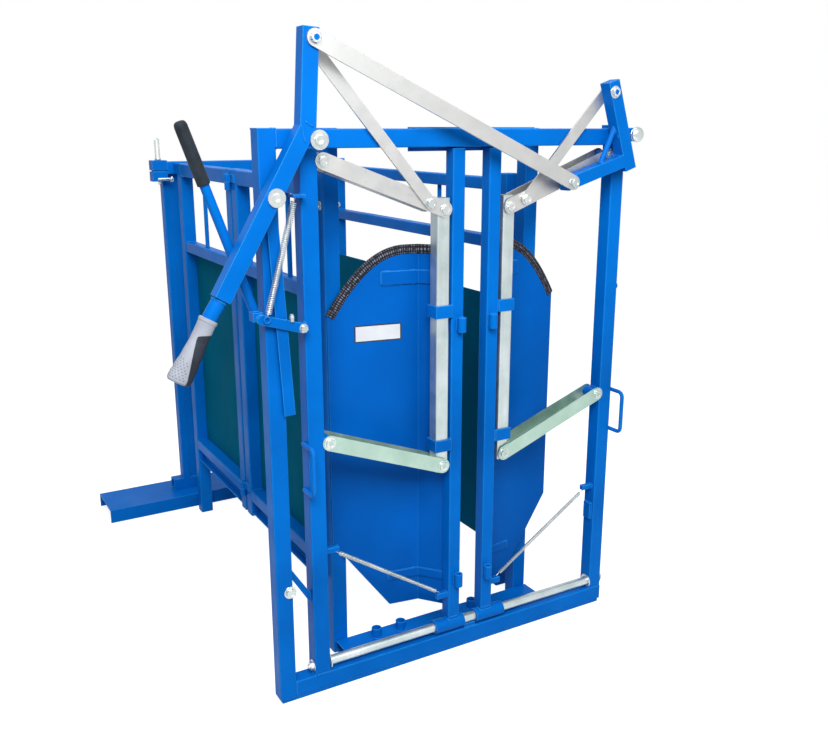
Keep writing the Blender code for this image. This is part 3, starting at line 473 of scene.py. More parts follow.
def grip_rubber():
    """Two-tone moulded grip: pale grey body, dark grey inlay by the inlay attribute, dimples at its end
    coloured dark as painted shade in their hollows.
    """
    look = Finish("moulded_grip")
    inlay = look.add("ShaderNodeAttribute", attribute_name="inlay").outputs["Fac"]
    dimples = look.add("ShaderNodeAttribute", attribute_name="dimples").outputs["Fac"]
    flow = look.noise(26.0, 5.0)
    pale = look.ramp(flow, [(0.3, (0.31, 0.335, 0.40)), (0.7, (0.39, 0.415, 0.48))])
    dark = look.ramp(flow, [(0.3, (0.006, 0.010, 0.018)), (0.7, (0.024, 0.032, 0.048))])
    tone = look.mix(look.ramp(inlay, [(0.46, 0.0), (0.54, 1.0)]), pale, dark)
    # The dimples are coloured dark bluish grey: painted shade in the hollows
    dimple_shaded = look.mix(look.sums("MULTIPLY", dimples, 0.80), tone, (0.09, 0.11, 0.15, 1))
    grime = look.ramp(look.noise(120.0, 4.0, 0.7), [(0.55, 0.0), (0.8, 1.0)])
    look.shade("Base Color", look.mix(look.sums("MULTIPLY", grime, 0.12), dimple_shaded, (0.16, 0.16, 0.17, 1)))
    look.shade("Roughness", look.ramp(look.noise(60.0), [(0.3, 0.50), (0.7, 0.70)]))
    look.shade("Specular IOR Level", 0.25)
    look.shade("Normal", look.bump(0.12, 0.0004, look.noise(700.0, 2.0)))
    return look.made


def bare_label():
    """A blank, slightly dusty pale plate with a thin dark margin, from the margin attribute."""
    look = Finish("blank_label")
    margin = look.add("ShaderNodeAttribute", attribute_name="margin").outputs["Fac"]
    dusty = look.ramp(look.noise(30.0, 4.0), [(0.3, (0.60, 0.63, 0.67)), (0.7, (0.70, 0.72, 0.75))])
    rim = look.ramp(margin, [(0.20, 0.0), (0.32, 1.0)])
    look.shade("Base Color", look.mix(rim, dusty, (0.004, 0.005, 0.010, 1)))
    look.shade("Roughness", look.ramp(look.noise(90.0), [(0.3, 0.28), (0.7, 0.42)]))
    look.shade("Normal", look.bump(0.08, 0.0004, look.noise(140.0)))
    return look.made


BLUE_TUBE = paint("blue_tube_paint", (0.0, 0.098, 0.41), (0.0, 0.142, 0.56), (0.0, 0.175, 0.67))
# The sheets have a weaker painted edge highlight and no dark specks
SHEET = {"grain": 0.04, "edge_highlight": 0.6, "fleck": 0.0}
BLUE_SHEET = paint(
    "blue_sheet_paint", (0.0, 0.085, 0.38), (0.0, 0.106, 0.46), (0.0, 0.128, 0.54), gloss=0.40, **SHEET
)
# The side sheets take a darker, greener copy of the blue paint: painted shade with a painted greenish
# reflection
SHADED_TEAL_SHEET = paint(
    "shaded_side_sheet_paint",
    (0.0, 0.096, 0.18),
    (0.0, 0.124, 0.22),
    (0.0, 0.146, 0.28),
    gloss=0.58,
    bend=1.06,
    **SHEET,
)
BLUE_BEAD = paint(
    "weld_paint", (0.0, 0.095, 0.42), (0.0, 0.130, 0.54), (0.0, 0.170, 0.66), gloss=0.24, grain=0.12
)
ZINC_BAR = plate("zinc_bar", (0.62, 0.67, 0.68), (0.42, 0.51, 0.51), 0.28, 0.44, (1, 1, 0.04), 0.65)
ZINC_LINK = plate("zinc_link", (0.55, 0.55, 0.54), (0.495, 0.505, 0.50), 0.38, 0.50, (0.08, 1, 0.08), 0.4)
ZINC_LOW = plate("zinc_channel", (0.47, 0.63, 0.55), (0.33, 0.48, 0.41), 0.36, 0.50, (0.08, 1, 0.08), 0.5)
ZINC_BOLT = plate("zinc_bolt", (0.70, 0.73, 0.73), (0.42, 0.49, 0.49), 0.20, 0.34)
TRIM = knurled_rubber()
FOAM = foam_rubber()
GRIP = grip_rubber()
LABEL = bare_label()

chosen = {}
for look, names in (
    (ZINC_LINK, "long_link left_push_link right_push_link left_upper_channel right_upper_channel"),
    (ZINC_BOLT, "lever_pivot_bolt crank_pivot_bolt drop_pin left_leaf_spring right_leaf_spring latch_spring"),
    (ZINC_LOW, "left_lower_channel right_lower_channel"),
    (ZINC_BAR, "left_bar right_bar leaf_rail_tube"),
    (SHADED_TEAL_SHEET, "near_sheet door_sheet far_sheet"),
    (BLUE_SHEET, "left_shoulder_panel right_shoulder_panel"),
    (TRIM, "left_panel_trim right_panel_trim"),
    (FOAM, "release_grip"),
    (GRIP, "lever_grip"),
):
    chosen.update(dict.fromkeys(names.split(), look))
for name, thing in nodes.items():
    for place in thing.material_slots:
        place.material = chosen.get(name, BLUE_TUBE)

# Heights and places that the model's source gives

# Half widths of the tubes, and the portal
HALF = 0.01905
LEAF_HALF = 0.0159
PORTAL_HALF = 0.421
RAIL_LOW, RAIL_TOP = 0.0080, 0.0461
BEAM_LOW, BEAM_MIDDLE, BEAM_TOP = 1.2099, 1.2289, 1.2480

# The yoke's linkage: the pins on posts and bars, and how far a channel falls along its length
POST_PIN = 0.37202
BAR_X = 0.0865
LEAF_X = 0.0477
UPPER = 1.186
LOWER = 0.597
CHANNEL_SINE = 0.35
DROP = 0.3048 * CHANNEL_SINE
LEAF_RAIL_Y, LEAF_RAIL_Z = -0.006, 0.0661

# The body: middles of its two walls, front faces of its posts, heights and half widths of its wall rails
BODY_LEFT = -0.318
BODY_RIGHT = 0.245
FRONT_POST_Y = 0.1118
DOOR_FRONT_Y = 0.160
DOOR_REAR_Y = 0.643 - 0.005 - 2 * HALF
FAR_POST_Y = 0.190
MID_POST_Y = 0.648
REAR = 1.1915
REAR_POST_Y = REAR - 0.0912
WALL_TOP = 1.1440
WALL_RAILS = ((1.1250, HALF), (0.8921, LEAF_HALF), (0.242, LEAF_HALF))

# Springs

CURL_STEPS = 14
LEAD_STEPS = 4
OPENING_CURLS = 0.6


def spring(name, start, end, radius, wire, curls, lead, body, to):
    """One wire: straight lead, a helix of even curls that opens from and closes to the axis, straight lead.

    Point(s) = start + axis * reach(s) + r(s) * (cos t * first + sin t * second), with t growing
    evenly, and r(s) rising from nothing to the radius over the opening curls.
    """
    start = np.asarray(start, float)
    end = np.asarray(end, float)
    axis = unit(end - start)
    first = unit(np.cross(axis, Y_WAY))
    second = np.cross(axis, first)
    length = float(np.linalg.norm(end - start))
    share = np.linspace(0, 1, CURL_STEPS * curls + 1)
    turn = 2 * math.pi * curls * share
    rise = np.clip(np.minimum(share, 1 - share) * curls / OPENING_CURLS, 0, 1)
    reach = lead + (length - 2 * lead) * share
    open_radius = radius * (rise * rise * (3 - 2 * rise))
    radial = np.cos(turn)[:, None] * first + np.sin(turn)[:, None] * second
    coil = start + reach[:, None] * axis + open_radius[:, None] * radial
    lead_in = line(start, coil[0], LEAD_STEPS + 1)[:-1]
    lead_out = line(coil[-1], end, LEAD_STEPS + 1)[1:]
    path = np.concatenate([lead_in, coil, lead_out])
    side = np.pad(radial, ((LEAD_STEPS, LEAD_STEPS), (0, 0)), "edge")
    made = piece(name, [round_bar(path, side, wire, 7)], ZINC_BOLT, None)
    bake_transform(made)
    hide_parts(to)


LATCH_COIL = {"radius": 0.0062, "wire": 0.00085, "curls": 62, "lead": 0.006}
LEAF_COIL = {"radius": 0.0038, "wire": 0.0009, "curls": 112, "lead": 0.012}
spring(
    "latch_return_coil",
    (-0.441, -0.0370, 1.1177),
    (-0.5075, -0.0370, 0.8875),
    body="release_latch",
    to="latch_spring",
    **LATCH_COIL,
)
for side, word in ((-1, "left"), (1, "right")):
    spring(
        word + "_leaf_coil",
        (side * 0.3575, -0.004, 0.3332),
        (side * 0.0840, -0.004, 0.1565),
        body=word + "_yoke_leaf",
        to=word + "_leaf_spring",
        **LEAF_COIL,
    )

# Rubber trim on the shoulder panels

# The arch: its level part starts and ends at these distances from the middle, then it reaches and falls
ARCH_TOP = 0.993
LEVEL_FROM, LEVEL_TO = 0.074, 0.1299
ARCH_FROM, ARCH_REACH, ARCH_FALL, ARCH_POWER = 0.130, 0.1835, 0.1465, 2.1
# The strip's points, its half sizes, how far it sits down over the edge, and its studs
TRIM_ALONG, TRIM_AROUND = 420, 28
TRIM_WIDE, TRIM_DEEP, TRIM_SUNK = 0.0046, 0.0108, 0.0074
STUD_PITCH, STUD_SWELL = 0.0042, 0.03
WEAVE_ALONG, WEAVE_AROUND = 560.0, 5.0
# How far back the panel's edge lies, by its distance from the middle of the cage, round its soft bend
EDGE_REACH = [0.056, 0.090, 0.0945, 0.0985, 0.1035, 0.108, 0.315]
EDGE_BACK = [0.01775, 0.0606, 0.0659, 0.0702, 0.0731, 0.0742, 0.106]


def squarish(values):
    """Sines or cosines with their size raised to the power 0.6: a circle becomes a rounded square."""
    return np.sign(values) * np.abs(values) ** 0.6


def arch_trim(side, word):
    """A U strip of studded rubber over the arched edge of a shoulder panel.

    Along: level from the panel's bend, then at share s of the way to the corner the height falls by
    ARCH_FALL times s to the ARCH_POWER, and the strip ends square at the corner. Across: a rounded
    rectangle over the edge, whose thickness grows and shrinks from stud to stud.
    """
    share = np.linspace(0, 1, 300)
    level = np.linspace(LEVEL_FROM, LEVEL_TO, 60)
    reach = np.concatenate([level, ARCH_FROM + ARCH_REACH * share])
    height = np.concatenate([np.full_like(level, ARCH_TOP), ARCH_TOP - ARCH_FALL * share**ARCH_POWER])
    run = np.concatenate([[0], np.cumsum(np.hypot(np.diff(reach), np.diff(height)))])
    even = np.linspace(0, run[-1], TRIM_ALONG)
    reach = np.interp(even, run, reach)
    height = np.interp(even, run, height)
    back = np.interp(reach, EDGE_REACH, EDGE_BACK)
    centre = np.stack([side * reach, back, height], axis=1)
    tangent = unit(np.gradient(centre, axis=0))
    plan = np.stack([side * np.gradient(reach), np.gradient(back), np.zeros(TRIM_ALONG)], axis=1)
    square = unit(np.cross(unit(plan), Z_WAY))
    outward = unit(np.cross(square, tangent))
    outward *= np.sign(outward[:, 2:3])
    angle = np.linspace(0, 2 * math.pi, TRIM_AROUND, endpoint=False)
    wide = squarish(np.cos(angle)) * TRIM_WIDE
    deep = squarish(np.sin(angle)) * TRIM_DEEP - TRIM_SUNK
    swell = 1 + STUD_SWELL * np.sin(2 * math.pi * even / STUD_PITCH)
    rings = (
        centre[:, None]
        + (wide[None] * swell[:, None])[..., None] * square[:, None]
        + deep[None, :, None] * outward[:, None]
    )
    made = piece(word + "_arch_trim", [skin(rings)], TRIM, word + "_yoke_leaf", 60)
    layer = made.data.uv_layers.new(name="weave")
    corner = np.zeros(len(made.data.loops), int)
    made.data.loops.foreach_get("vertex_index", corner)
    ring, spot = np.divmod(corner, TRIM_AROUND)
    weave = np.stack([even[ring] * WEAVE_ALONG, spot * 2 * math.pi / TRIM_AROUND * WEAVE_AROUND], axis=1)
    layer.data.foreach_set("uv", weave.astype(np.float32).ravel())
    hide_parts(word + "_panel_trim")


arch_trim(-1, "left")
arch_trim(1, "right")

# Grips

GRIP_START = np.array([-0.625, -0.0442, 0.902])
GRIP_WAY = unit(np.array([-0.6985 + 0.625, 0.0, 0.789 - 0.902]))
GRIP_ASIDE = np.cross(Y_WAY, GRIP_WAY)
HOLD_START = GRIP_START + 0.0150 * GRIP_WAY
HOLD_WAY = unit(np.array([-0.6924, -0.0442, 0.7865]) - GRIP_START)
HOLD_ASIDE = np.cross(Y_WAY, HOLD_WAY)
HOLD_LENGTH, HOLD_BOW = 0.1235, 0.0020
NECK_RADIUS = 0.0150
DIMPLE_PITCH, DIMPLE_RADIUS, DIMPLE_DEPTH = 0.0060, 0.00140, 0.0005
INLAY_DEPTH = 0.0006


def hand_grip():
    """The lever's moulded grip: an oval whose two half widths follow smooth curves along the grip.

    Width and depth at the length run come from a few stations, blended smoothly and at the tip
    evenly, with a raised collar at the mouth. The dark inlay is where the angle from the finger side
    is under a limit that falls with the length. Dimples are round spots on staggered rows over the
    palm side.
    """
    stations = np.array(
        [
            (-0.0110, 0.0168, 0.0160),
            (-0.0098, 0.0190, 0.0180),
            (-0.0045, 0.0192, 0.0182),
            (-0.0025, 0.0180, 0.0170),
            (0.0100, 0.0178, 0.0166),
            (0.0350, 0.0184, 0.0168),
            (0.0650, 0.0208, 0.0178),
            (0.0950, 0.0240, 0.0188),
            (0.1120, 0.0252, 0.0190),
            (0.1200, 0.0240, 0.0176),
            (HOLD_LENGTH, 0.0204, 0.0142),
        ]
    )
    run = np.linspace(stations[0, 0], HOLD_LENGTH, 240)
    slot = np.clip(np.searchsorted(stations[:, 0], run, side="right") - 1, 0, len(stations) - 2)
    share = (run - stations[slot, 0]) / (stations[slot + 1, 0] - stations[slot, 0])
    soft = np.where(slot > len(stations) - 4, share, share * share * (3 - 2 * share))
    size = stations[slot, 1:] * (1 - soft[:, None]) + stations[slot + 1, 1:] * soft[:, None]
    angle = np.linspace(0, 2 * math.pi, 112, endpoint=False)[None]
    bow = HOLD_BOW * np.sin(np.clip(run / HOLD_LENGTH, 0, 1) * math.pi)[:, None]
    spot = (
        HOLD_START
        + run[:, None, None] * HOLD_WAY
        + (size[:, 0:1] * np.cos(angle) - bow)[..., None] * HOLD_ASIDE
        + (size[:, 1:2] * np.sin(angle))[..., None] * Y_WAY
    )
    middle = HOLD_START + run[:, None, None] * HOLD_WAY - bow[..., None] * HOLD_ASIDE
    along = run[:, None] / HOLD_LENGTH
    turned = np.abs(np.degrees(angle) - 180)
    limit = np.interp(along, [0.20, 0.30, 0.60, 0.90, 1.0], [126, 122, 95, 68, 60])
    start = 0.12 + 0.10 * (turned / 122) ** 2
    inlay = np.clip((limit - turned) / 7 + 0.5, 0, 1) * np.clip((along - start) / 0.012 + 0.5, 0, 1)
    row = np.round(run / (DIMPLE_PITCH * 0.80))[:, None]
    across = turned / 180 * math.pi * 0.0185
    aside = (across / DIMPLE_PITCH + 0.5 * (row % 2)) % 1 - 0.5
    ahead = run[:, None] - row * DIMPLE_PITCH * 0.80
    near = np.hypot(aside * DIMPLE_PITCH, ahead)
    palm = (along > 0.56 + 0.12 * (180 - turned) / 90) * (along < 0.955) * (turned > limit + 12)
    dimples = np.clip((DIMPLE_RADIUS - near) / 0.0004, 0, 1) * palm
    sunk = DIMPLE_DEPTH * dimples + INLAY_DEPTH * inlay
    spot = spot - unit(spot - middle) * sunk[..., None]
    made = piece("lever_hand_grip", [skin(spot)], GRIP, "hand_lever", 60)
    mark(made, "inlay", inlay)
    mark(made, "dimples", dimples)
    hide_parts("lever_grip")


hand_grip()

neck = [
    (-0.0500, 0.0128),
    (-0.0352, 0.0128),
    (-0.0352, 0.0148),
    (-0.0335, NECK_RADIUS),
    (-0.0130, NECK_RADIUS),
    (0.0050, NECK_RADIUS),
    (0.0080, 0.0148),
]
neck_mesh = slanting_lathe(GRIP_START, GRIP_WAY, GRIP_ASIDE, neck, 40)
piece("lever_neck", [neck_mesh], BLUE_TUBE, "hand_lever")

TUBE_LOW = np.array([-0.5192, -0.0065, 0.8854])
TUBE_HIGH = np.array([-0.6477, -0.0065, 1.2544])
TUBE_WAY = unit(TUBE_HIGH - TUBE_LOW)


def foam_grip():
    """A foam sleeve turned round the release tube: lipped mouth, slight barrel, domed closed end."""
    rows = np.array(
        [
            (-0.1150, 0.0100),
            (-0.1150, 0.0118),
            (-0.1138, 0.0127),
            (-0.1110, 0.0129),
            (-0.1080, 0.0127),
            (-0.0700, 0.0129),
            (-0.0300, 0.0128),
            (-0.0040, 0.0127),
            (0.0015, 0.0119),
            (0.0050, 0.0098),
            (0.0068, 0.0060),
            (0.0072, 0.0010),
        ]
    )
    fine = np.concatenate([line(rows[k], rows[k + 1], 5)[:-1] for k in range(len(rows) - 1)] + [rows[-1:]])
    barrel = slanting_lathe(TUBE_HIGH, TUBE_WAY, unit(np.cross(TUBE_WAY, Y_WAY)), fine, 44)
    made = piece("release_foam", [barrel], FOAM, "release_latch", 50)
    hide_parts("release_grip")


foam_grip()

# Bolts, washers and nuts


def bolts(name, body, heads):
    """All the front bolt heads of one body as one piece.

    Each head: x, z, Y of its back and its front, corner radius, twist in radians, washer radius.
    """
    parts = []
    for head in heads:
        parts += hex_bolt(*head)
    piece(name, parts, ZINC_BOLT, body, 30)


CHANNEL_FACE, CHANNEL_HEAD = -0.0227, -0.0278
for side, word in ((-1, "left"), (1, "right")):
    for height, level in ((UPPER, "upper"), (LOWER, "lower")):
        bolts(
            f"{word}_{level}_channel_bolts",
            f"{word}_{level}_link",
            [
                (side * POST_PIN, height, CHANNEL_FACE, CHANNEL_HEAD, 0.0111, 0.3 * side, 0.0138),
                (side * BAR_X, height - DROP, CHANNEL_FACE, CHANNEL_HEAD, 0.0111, 0.9 * side, 0.0134),
            ],
        )
PUSH_REACH = 0.262
push_x = POST_PIN - PUSH_REACH * math.sqrt(1 - CHANNEL_SINE**2)
push_z = UPPER - PUSH_REACH * CHANNEL_SINE
bolts("left_push_bolt", "left_push", [(-push_x, push_z, -0.0280, -0.0346, 0.0111, 0.5, 0.0130)])
bolts("right_push_bolt", "right_push", [(push_x, push_z, -0.0280, -0.0346, 0.0111, 0.1, 0.0130)])
bolts("long_link_bolt", "long_cross_link", [(0.2305, 1.1286, -0.0654, -0.0729, 0.0112, 0.7, 0.0140)])
bolts(
    "lever_bolts",
    "hand_lever",
    [
        (-0.4012, 1.4115, -0.0657, -0.0729, 0.0112, 0.2, 0.0),
        (-0.4881, 1.1203, -0.0631, -0.0665, 0.0102, 0.6, 0.0180),
    ],
)
bolts("crank_bolts", "right_crank", [(0.3436, 1.328, -0.0601, -0.0676, 0.0112, 0.4, 0.0138)])
bolts("latch_bolt", "release_latch", [(-0.430, 0.857, -0.0350, -0.0417, 0.0084, 0.25, 0.0096)])
bolts(
    "portal_bolts",
    "frame",
    [
        (-0.4746, 0.2702, -0.0191, -0.0262, 0.0112, 0.8, 0.0142),
        (-0.3970, 1.2268, -0.0634, -0.0680, 0.0113, 0.15, 0.0190),
    ],
)
dome = [
    (-0.0604, 0.0172),
    (-0.0636, 0.0174),
    (-0.0660, 0.0166),
    (-0.0684, 0.0145),
    (-0.0702, 0.0110),
    (-0.0711, 0.0065),
    (-0.0714, 0.0008),
]
CRANK_X, CRANK_Z = 0.4165, 1.2340
dome_disc = ring_disc((CRANK_X, -0.0598, CRANK_Z), "y", 0.0178, 0.0100, 0.0016)
dome_parts = [lathe((CRANK_X, 0, CRANK_Z), dome, "y", 48), dome_disc]
piece("crank_dome_nut", dome_parts, ZINC_BOLT, "frame", 30)


def side_nut(x, y, z, outward, across=0.0105, deep=0.0075):
    """A six-sided nut with a bolt end, whose axis lies along X."""
    full = outward * deep
    rows = [
        (0.0, across, 1.0),
        (full * 0.75, across, 1.0),
        (full * 0.97, across * 0.90, 0.4),
        (full, across * 0.62, 0.0),
        (full, 0.0052, 0.0),
        (full * 1.45, 0.0050, 0.0),
        (full * 1.55, 0.0042, 0.0),
        (full * 1.55, 0.0004, 0.0),
    ]
    washer = ring_disc((x - outward * 0.0006, y, z), "x", across * 1.28, across * 0.5, 0.0012)
    return [lathe((x, y, z), rows, "x", 48), washer]


hardware = []
for outward in (-1, 1):
    hardware += side_nut(outward * 0.4224, LEAF_RAIL_Y, LEAF_RAIL_Z, outward)
for x in (-0.3808, 0.3808):
    hardware.append(ring_disc((x, LEAF_RAIL_Y, LEAF_RAIL_Z), "x", 0.0175, 0.0108, 0.0030))
for x, outward in ((-0.2752, 1), (-0.3148, -1)):
    hardware += side_nut(x, 0.1308, 1.0860, outward, 0.0080, 0.0060)
piece("rail_nuts_and_washers", hardware, ZINC_BOLT, "frame", 30)

# Small fittings on the yoke leaves


PANEL_ASIDE, PANEL_BACK = 0.216, 0.034


def panel_ways(side):
    """Along a shoulder panel's slanting face away from the middle, and square out of its front."""
    length = math.hypot(PANEL_ASIDE, PANEL_BACK)
    along = np.array([side * PANEL_ASIDE, PANEL_BACK, 0.0]) / length
    return along, np.array([side * PANEL_BACK, -PANEL_ASIDE, 0.0]) / length


SOCKET_HEIGHTS, SOCKET_HALF, SOCKET_Y = (0.8215, 0.1895), 0.0170, -0.0263
BAR_GUIDE_HEIGHTS, BAR_GUIDE_HALF = (0.853, 0.538), 0.0140
# The reinforcing strips of a panel: lower edge, upper edge and length
STRIPS = ((0.176, 0.197, 0.075), (0.908, 0.938, 0.086))
for side, word in ((-1, "left"), (1, "right")):
    middle = side * (LEAF_X - 0.0050)
    parts = []
    beads = []
    for height in SOCKET_HEIGHTS:
        low, high = height - SOCKET_HALF, height + SOCKET_HALF
        parts.append(sleeve((middle, SOCKET_Y, 0.0), "z", 0.0100, 0.0066, low, high))
        for x in (middle - 0.0078, middle + 0.0078):
            beads.append(weld((x, -0.0166, height - 0.0165), (x, -0.0166, height + 0.0165), Y_WAY, 0.0017))
    piece(word + "_leaf_sockets", parts, BLUE_TUBE, word + "_yoke_leaf")
    x = side * (LEAF_X + LEAF_HALF) * 0.995
    for height in BAR_GUIDE_HEIGHTS:
        for z in (height - BAR_GUIDE_HALF, height + BAR_GUIDE_HALF):
            beads.append(weld((x, -0.0165, z), (x, 0.0165, z), Z_WAY, 0.0015))
    z = LEAF_RAIL_Z + 0.0175 + 0.004
    for y in (-0.0155, 0.0100):
        start = (side * (LEAF_X - 0.0145), y, z)
        beads.append(weld(start, (side * (LEAF_X + 0.0145), y, z), Z_WAY, 0.0019))
    slope, front = panel_ways(side)
    corner = np.array([side * 0.103, 0.0726, 0.0]) + front * 0.0022
    for low_z, high_z, reach in STRIPS:
        for z in (low_z, high_z):
            start = corner + z * Z_WAY
            for first, last in ((0.002, 0.016), (0.034, 0.046), (0.062, reach)):
                beads.append(weld(start + slope * first, start + slope * last, Z_WAY, 0.0028))
        end = corner + slope * (reach + 0.0015)
        beads.append(weld(end + low_z * Z_WAY, end + high_z * Z_WAY, front, 0.0018))
    piece(word + "_leaf_welds", beads, BLUE_BEAD, word + "_yoke_leaf", 0)

# Blank label on the left shoulder panel

LABEL_FROM = np.array([-0.099, 0.072, 0.7988])
LABEL_HALF = np.array([0.0565, 0.0200])
LABEL_CORNER = 0.0035
# From the panel to the face: inset from the outline, height over the panel, share of the dark margin
LABEL_RINGS = ((0.0, 0.0, 1), (0.0004, 0.0004, 1), (0.0027, 0.0005, 1), (0.0032, 0.0005, 0))


def label_plate():
    """A thin plate on the panel's slanting face: a rounded rectangle, its rim marked as the margin."""
    along, front = panel_ways(-1)
    middle = LABEL_FROM + along * 0.0990 + front * 0.00155
    turn = np.linspace(0, 2 * math.pi, 32, endpoint=False) + math.pi / 32
    arc = np.stack([np.cos(turn), np.sin(turn)], axis=1)
    rings = []
    margin = []
    for inset, rise, level in LABEL_RINGS:
        flat = np.sign(arc) * (LABEL_HALF - LABEL_CORNER) + arc * (LABEL_CORNER - inset)
        rings.append(middle + flat[:, :1] * along + flat[:, 1:] * Z_WAY + rise * front)
        margin.append(np.full(len(turn), level))
    made = piece("blank_label_plate", [skin(rings)], LABEL, "left_yoke_leaf", 25)
    mark(made, "margin", np.concatenate(margin))


label_plate()

# Drop pin with its bail, and the clamp bolt under the rear beam

PIN_X = -0.3735
PIN_Y = REAR + HALF
BAIL_HALF, BAIL_FOOT, BAIL_TOP = 0.0058, 1.1560, 1.2185
bail = bent(
    [
        (PIN_X - BAIL_HALF, PIN_Y, BAIL_FOOT),
        (PIN_X - BAIL_HALF, PIN_Y, BAIL_TOP),
        (PIN_X + BAIL_HALF, PIN_Y, BAIL_TOP),
        (PIN_X + BAIL_HALF, PIN_Y, BAIL_FOOT),
    ],
    0.0054,
)
pin_rows = [
    (1.0765, 0.0015),
    (1.0785, 0.0042),
    (1.0810, 0.0050),
    (1.1522, 0.0050),
    (1.1524, 0.0092),
    (1.1540, 0.0098),
    (1.1570, 0.0098),
    (1.1590, 0.0088),
    (1.1592, 0.0010),
]
pin_parts = [lathe((PIN_X, PIN_Y, 0), pin_rows, "z", 32), round_bar(bail, Y_WAY, 0.0024, 12)]
pin_piece = piece("drop_pin_with_bail", pin_parts, ZINC_BOLT, "width_pin")
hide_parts("drop_pin")
clamp_rows = [
    (-0.3835, 0.0040),
    (-0.3830, 0.0046),
    (-0.3440, 0.0046),
    (-0.3438, 0.0084),
    (-0.3385, 0.0088),
    (-0.3365, 0.0076),
    (-0.3360, 0.0010),
]
clamp = lathe((0, REAR - 0.0052, 1.0950), clamp_rows, "x", 32)
piece("clamp_bolt", [clamp], ZINC_BOLT, "frame")

# Sockets on the front sill and end plates of the tubes

SILL_Y = 0.0780
RING_SIDES = 72
turn = np.linspace(0, 2 * math.pi, RING_SIDES, endpoint=False)
ripple = 0.0020 * (0.82 + 0.18 * np.abs(np.sin(turn * 9)))
sockets = []
socket_beads = []
for x in (-0.214, -0.146, 0.011, 0.066):
    sockets.append(sleeve((x, SILL_Y, 0.0), "z", 0.0125, 0.0098, 0.0325, 0.0580))
    ring = (x, SILL_Y, 0.0338) + 0.0132 * circle(RING_SIDES, X_WAY, Y_WAY)
    socket_beads.append(round_bar(ring, Z_WAY, ripple, 8, closed=True))
piece("sill_sockets", sockets, BLUE_TUBE, "frame")

CAP_INSET = 0.0008
CAP_PROUD = 0.0012
CAP_SUNK = 0.0030


def post_cap(x, front, top):
    """The plate in the top end of a square post, whose front face is at front."""
    low = (x - HALF + CAP_INSET, front + CAP_INSET, top - CAP_SUNK)
    return slab(low, (x + HALF - CAP_INSET, front + 2 * HALF - CAP_INSET, top + CAP_PROUD))


caps = [
    post_cap(x, front, top)
    for x, front, top in (
        (-0.295, FRONT_POST_Y, BEAM_TOP),
        (BODY_RIGHT, FRONT_POST_Y, BEAM_TOP),
        (BODY_RIGHT, FAR_POST_Y, 1.1380),
        (BODY_RIGHT, REAR, 1.1480),
        (BODY_LEFT, REAR_POST_Y, WALL_TOP),
    )
]
piece("post_end_plates", caps, BLUE_TUBE, "frame")
for name, low, high in (("beam_end_plate", BEAM_LOW, BEAM_TOP), ("rail_end_plate", RAIL_LOW, RAIL_TOP)):
    start = (PORTAL_HALF - 0.0025, -HALF + CAP_INSET, low + CAP_INSET)
    end = (PORTAL_HALF + CAP_PROUD, HALF - CAP_INSET, high - CAP_INSET)
    piece(name, [slab(start, end)], BLUE_TUBE, "frame")
door_caps = [post_cap(BODY_LEFT, front, WALL_TOP) for front in (DOOR_FRONT_Y, DOOR_REAR_Y)]
piece("door_end_plates", door_caps, BLUE_TUBE, "side_door")
mid_cap = post_cap(BODY_LEFT, MID_POST_Y, WALL_TOP)
piece("mid_post_end_plate", [mid_cap], BLUE_TUBE, "frame")

# Welds of the fixed frame and of the door


MOUTH_SHARE = 0.985
OUTER_LEG_X = -0.487
SMALL_WELD = 0.0018


def corner_welds(x, y, z, plane, half=HALF, size=WELD_SIZE):
    """Beads round the mouth of a square tube that butts on another, square to the plane axis."""
    centre = np.array([x, y, z], float)
    spread = half * MOUTH_SHARE * (1 - AXES[plane][2])
    return weld_box(centre - spread, centre + spread, plane, size)


frame_beads = list(socket_beads)
for side in (-1, 1):
    x = side * (PORTAL_HALF - HALF)
    frame_beads += corner_welds(x, 0, BEAM_LOW, "z")
    frame_beads += corner_welds(x, 0, RAIL_TOP, "z")
    x = side * (PORTAL_HALF - 2 * HALF) - side * 0.0003
    for height in (UPPER, LOWER):
        frame_beads += weld_box((x, -0.0165, height - 0.0125), (x, 0.0165, height + 0.0125), "x", 0.0017)
    for z in (0.495, 0.600):
        spot = (side * 0.4212, -0.0040, z)
        frame_beads.append(weld_ring(spot, Y_WAY, Z_WAY, 0.0062, X_WAY, 0.0015, 7, 48))
for z in (RAIL_LOW + HALF, BEAM_MIDDLE):
    frame_beads += corner_welds(OUTER_LEG_X + HALF + 0.0002, 0, z, "x")
for x in (-0.155, 0.155):
    frame_beads.append(weld((x, -0.0095, 1.2486), (x, 0.0185, 1.2486), Z_WAY, SMALL_WELD))
for first, last in ((-0.152, -0.120), (-0.016, 0.016), (0.120, 0.152)):
    frame_beads.append(weld((first, -0.0102, 1.2484), (last, -0.0102, 1.2484), Z_WAY, SMALL_WELD))
for y in (FAR_POST_Y + 2 * HALF, REAR):
    for z in (1.1101, 0.9611):
        frame_beads += corner_welds(BODY_RIGHT, y, z, "y", LEAF_HALF, SMALL_WELD)
for z, half in WALL_RAILS:
    for y in (MID_POST_Y + 2 * HALF, REAR_POST_Y):
        frame_beads += corner_welds(BODY_LEFT, y, z, "y", half, SMALL_WELD)
for z in (1.118, 1.124):
    frame_beads.append(weld((-0.4200, -0.0285, z), (-0.4200, -0.0140, z), Z_WAY, SMALL_WELD))
for x, z, end_x, end_z in ((-0.4205, 0.2210, -0.4205, 0.2460), (-0.4670, 0.2960, -0.4680, 0.3200)):
    frame_beads.append(weld((x, -0.0034, z), (end_x, -0.0034, end_z), X_WAY, 0.0019))
STUB_Y, STUB_TOP = 1.2305, 0.0826
for x in (-0.3577, -0.3065):
    frame_beads.append(weld((x, STUB_Y, STUB_TOP), (x, STUB_Y + 0.034, STUB_TOP), Z_WAY, 0.0019))
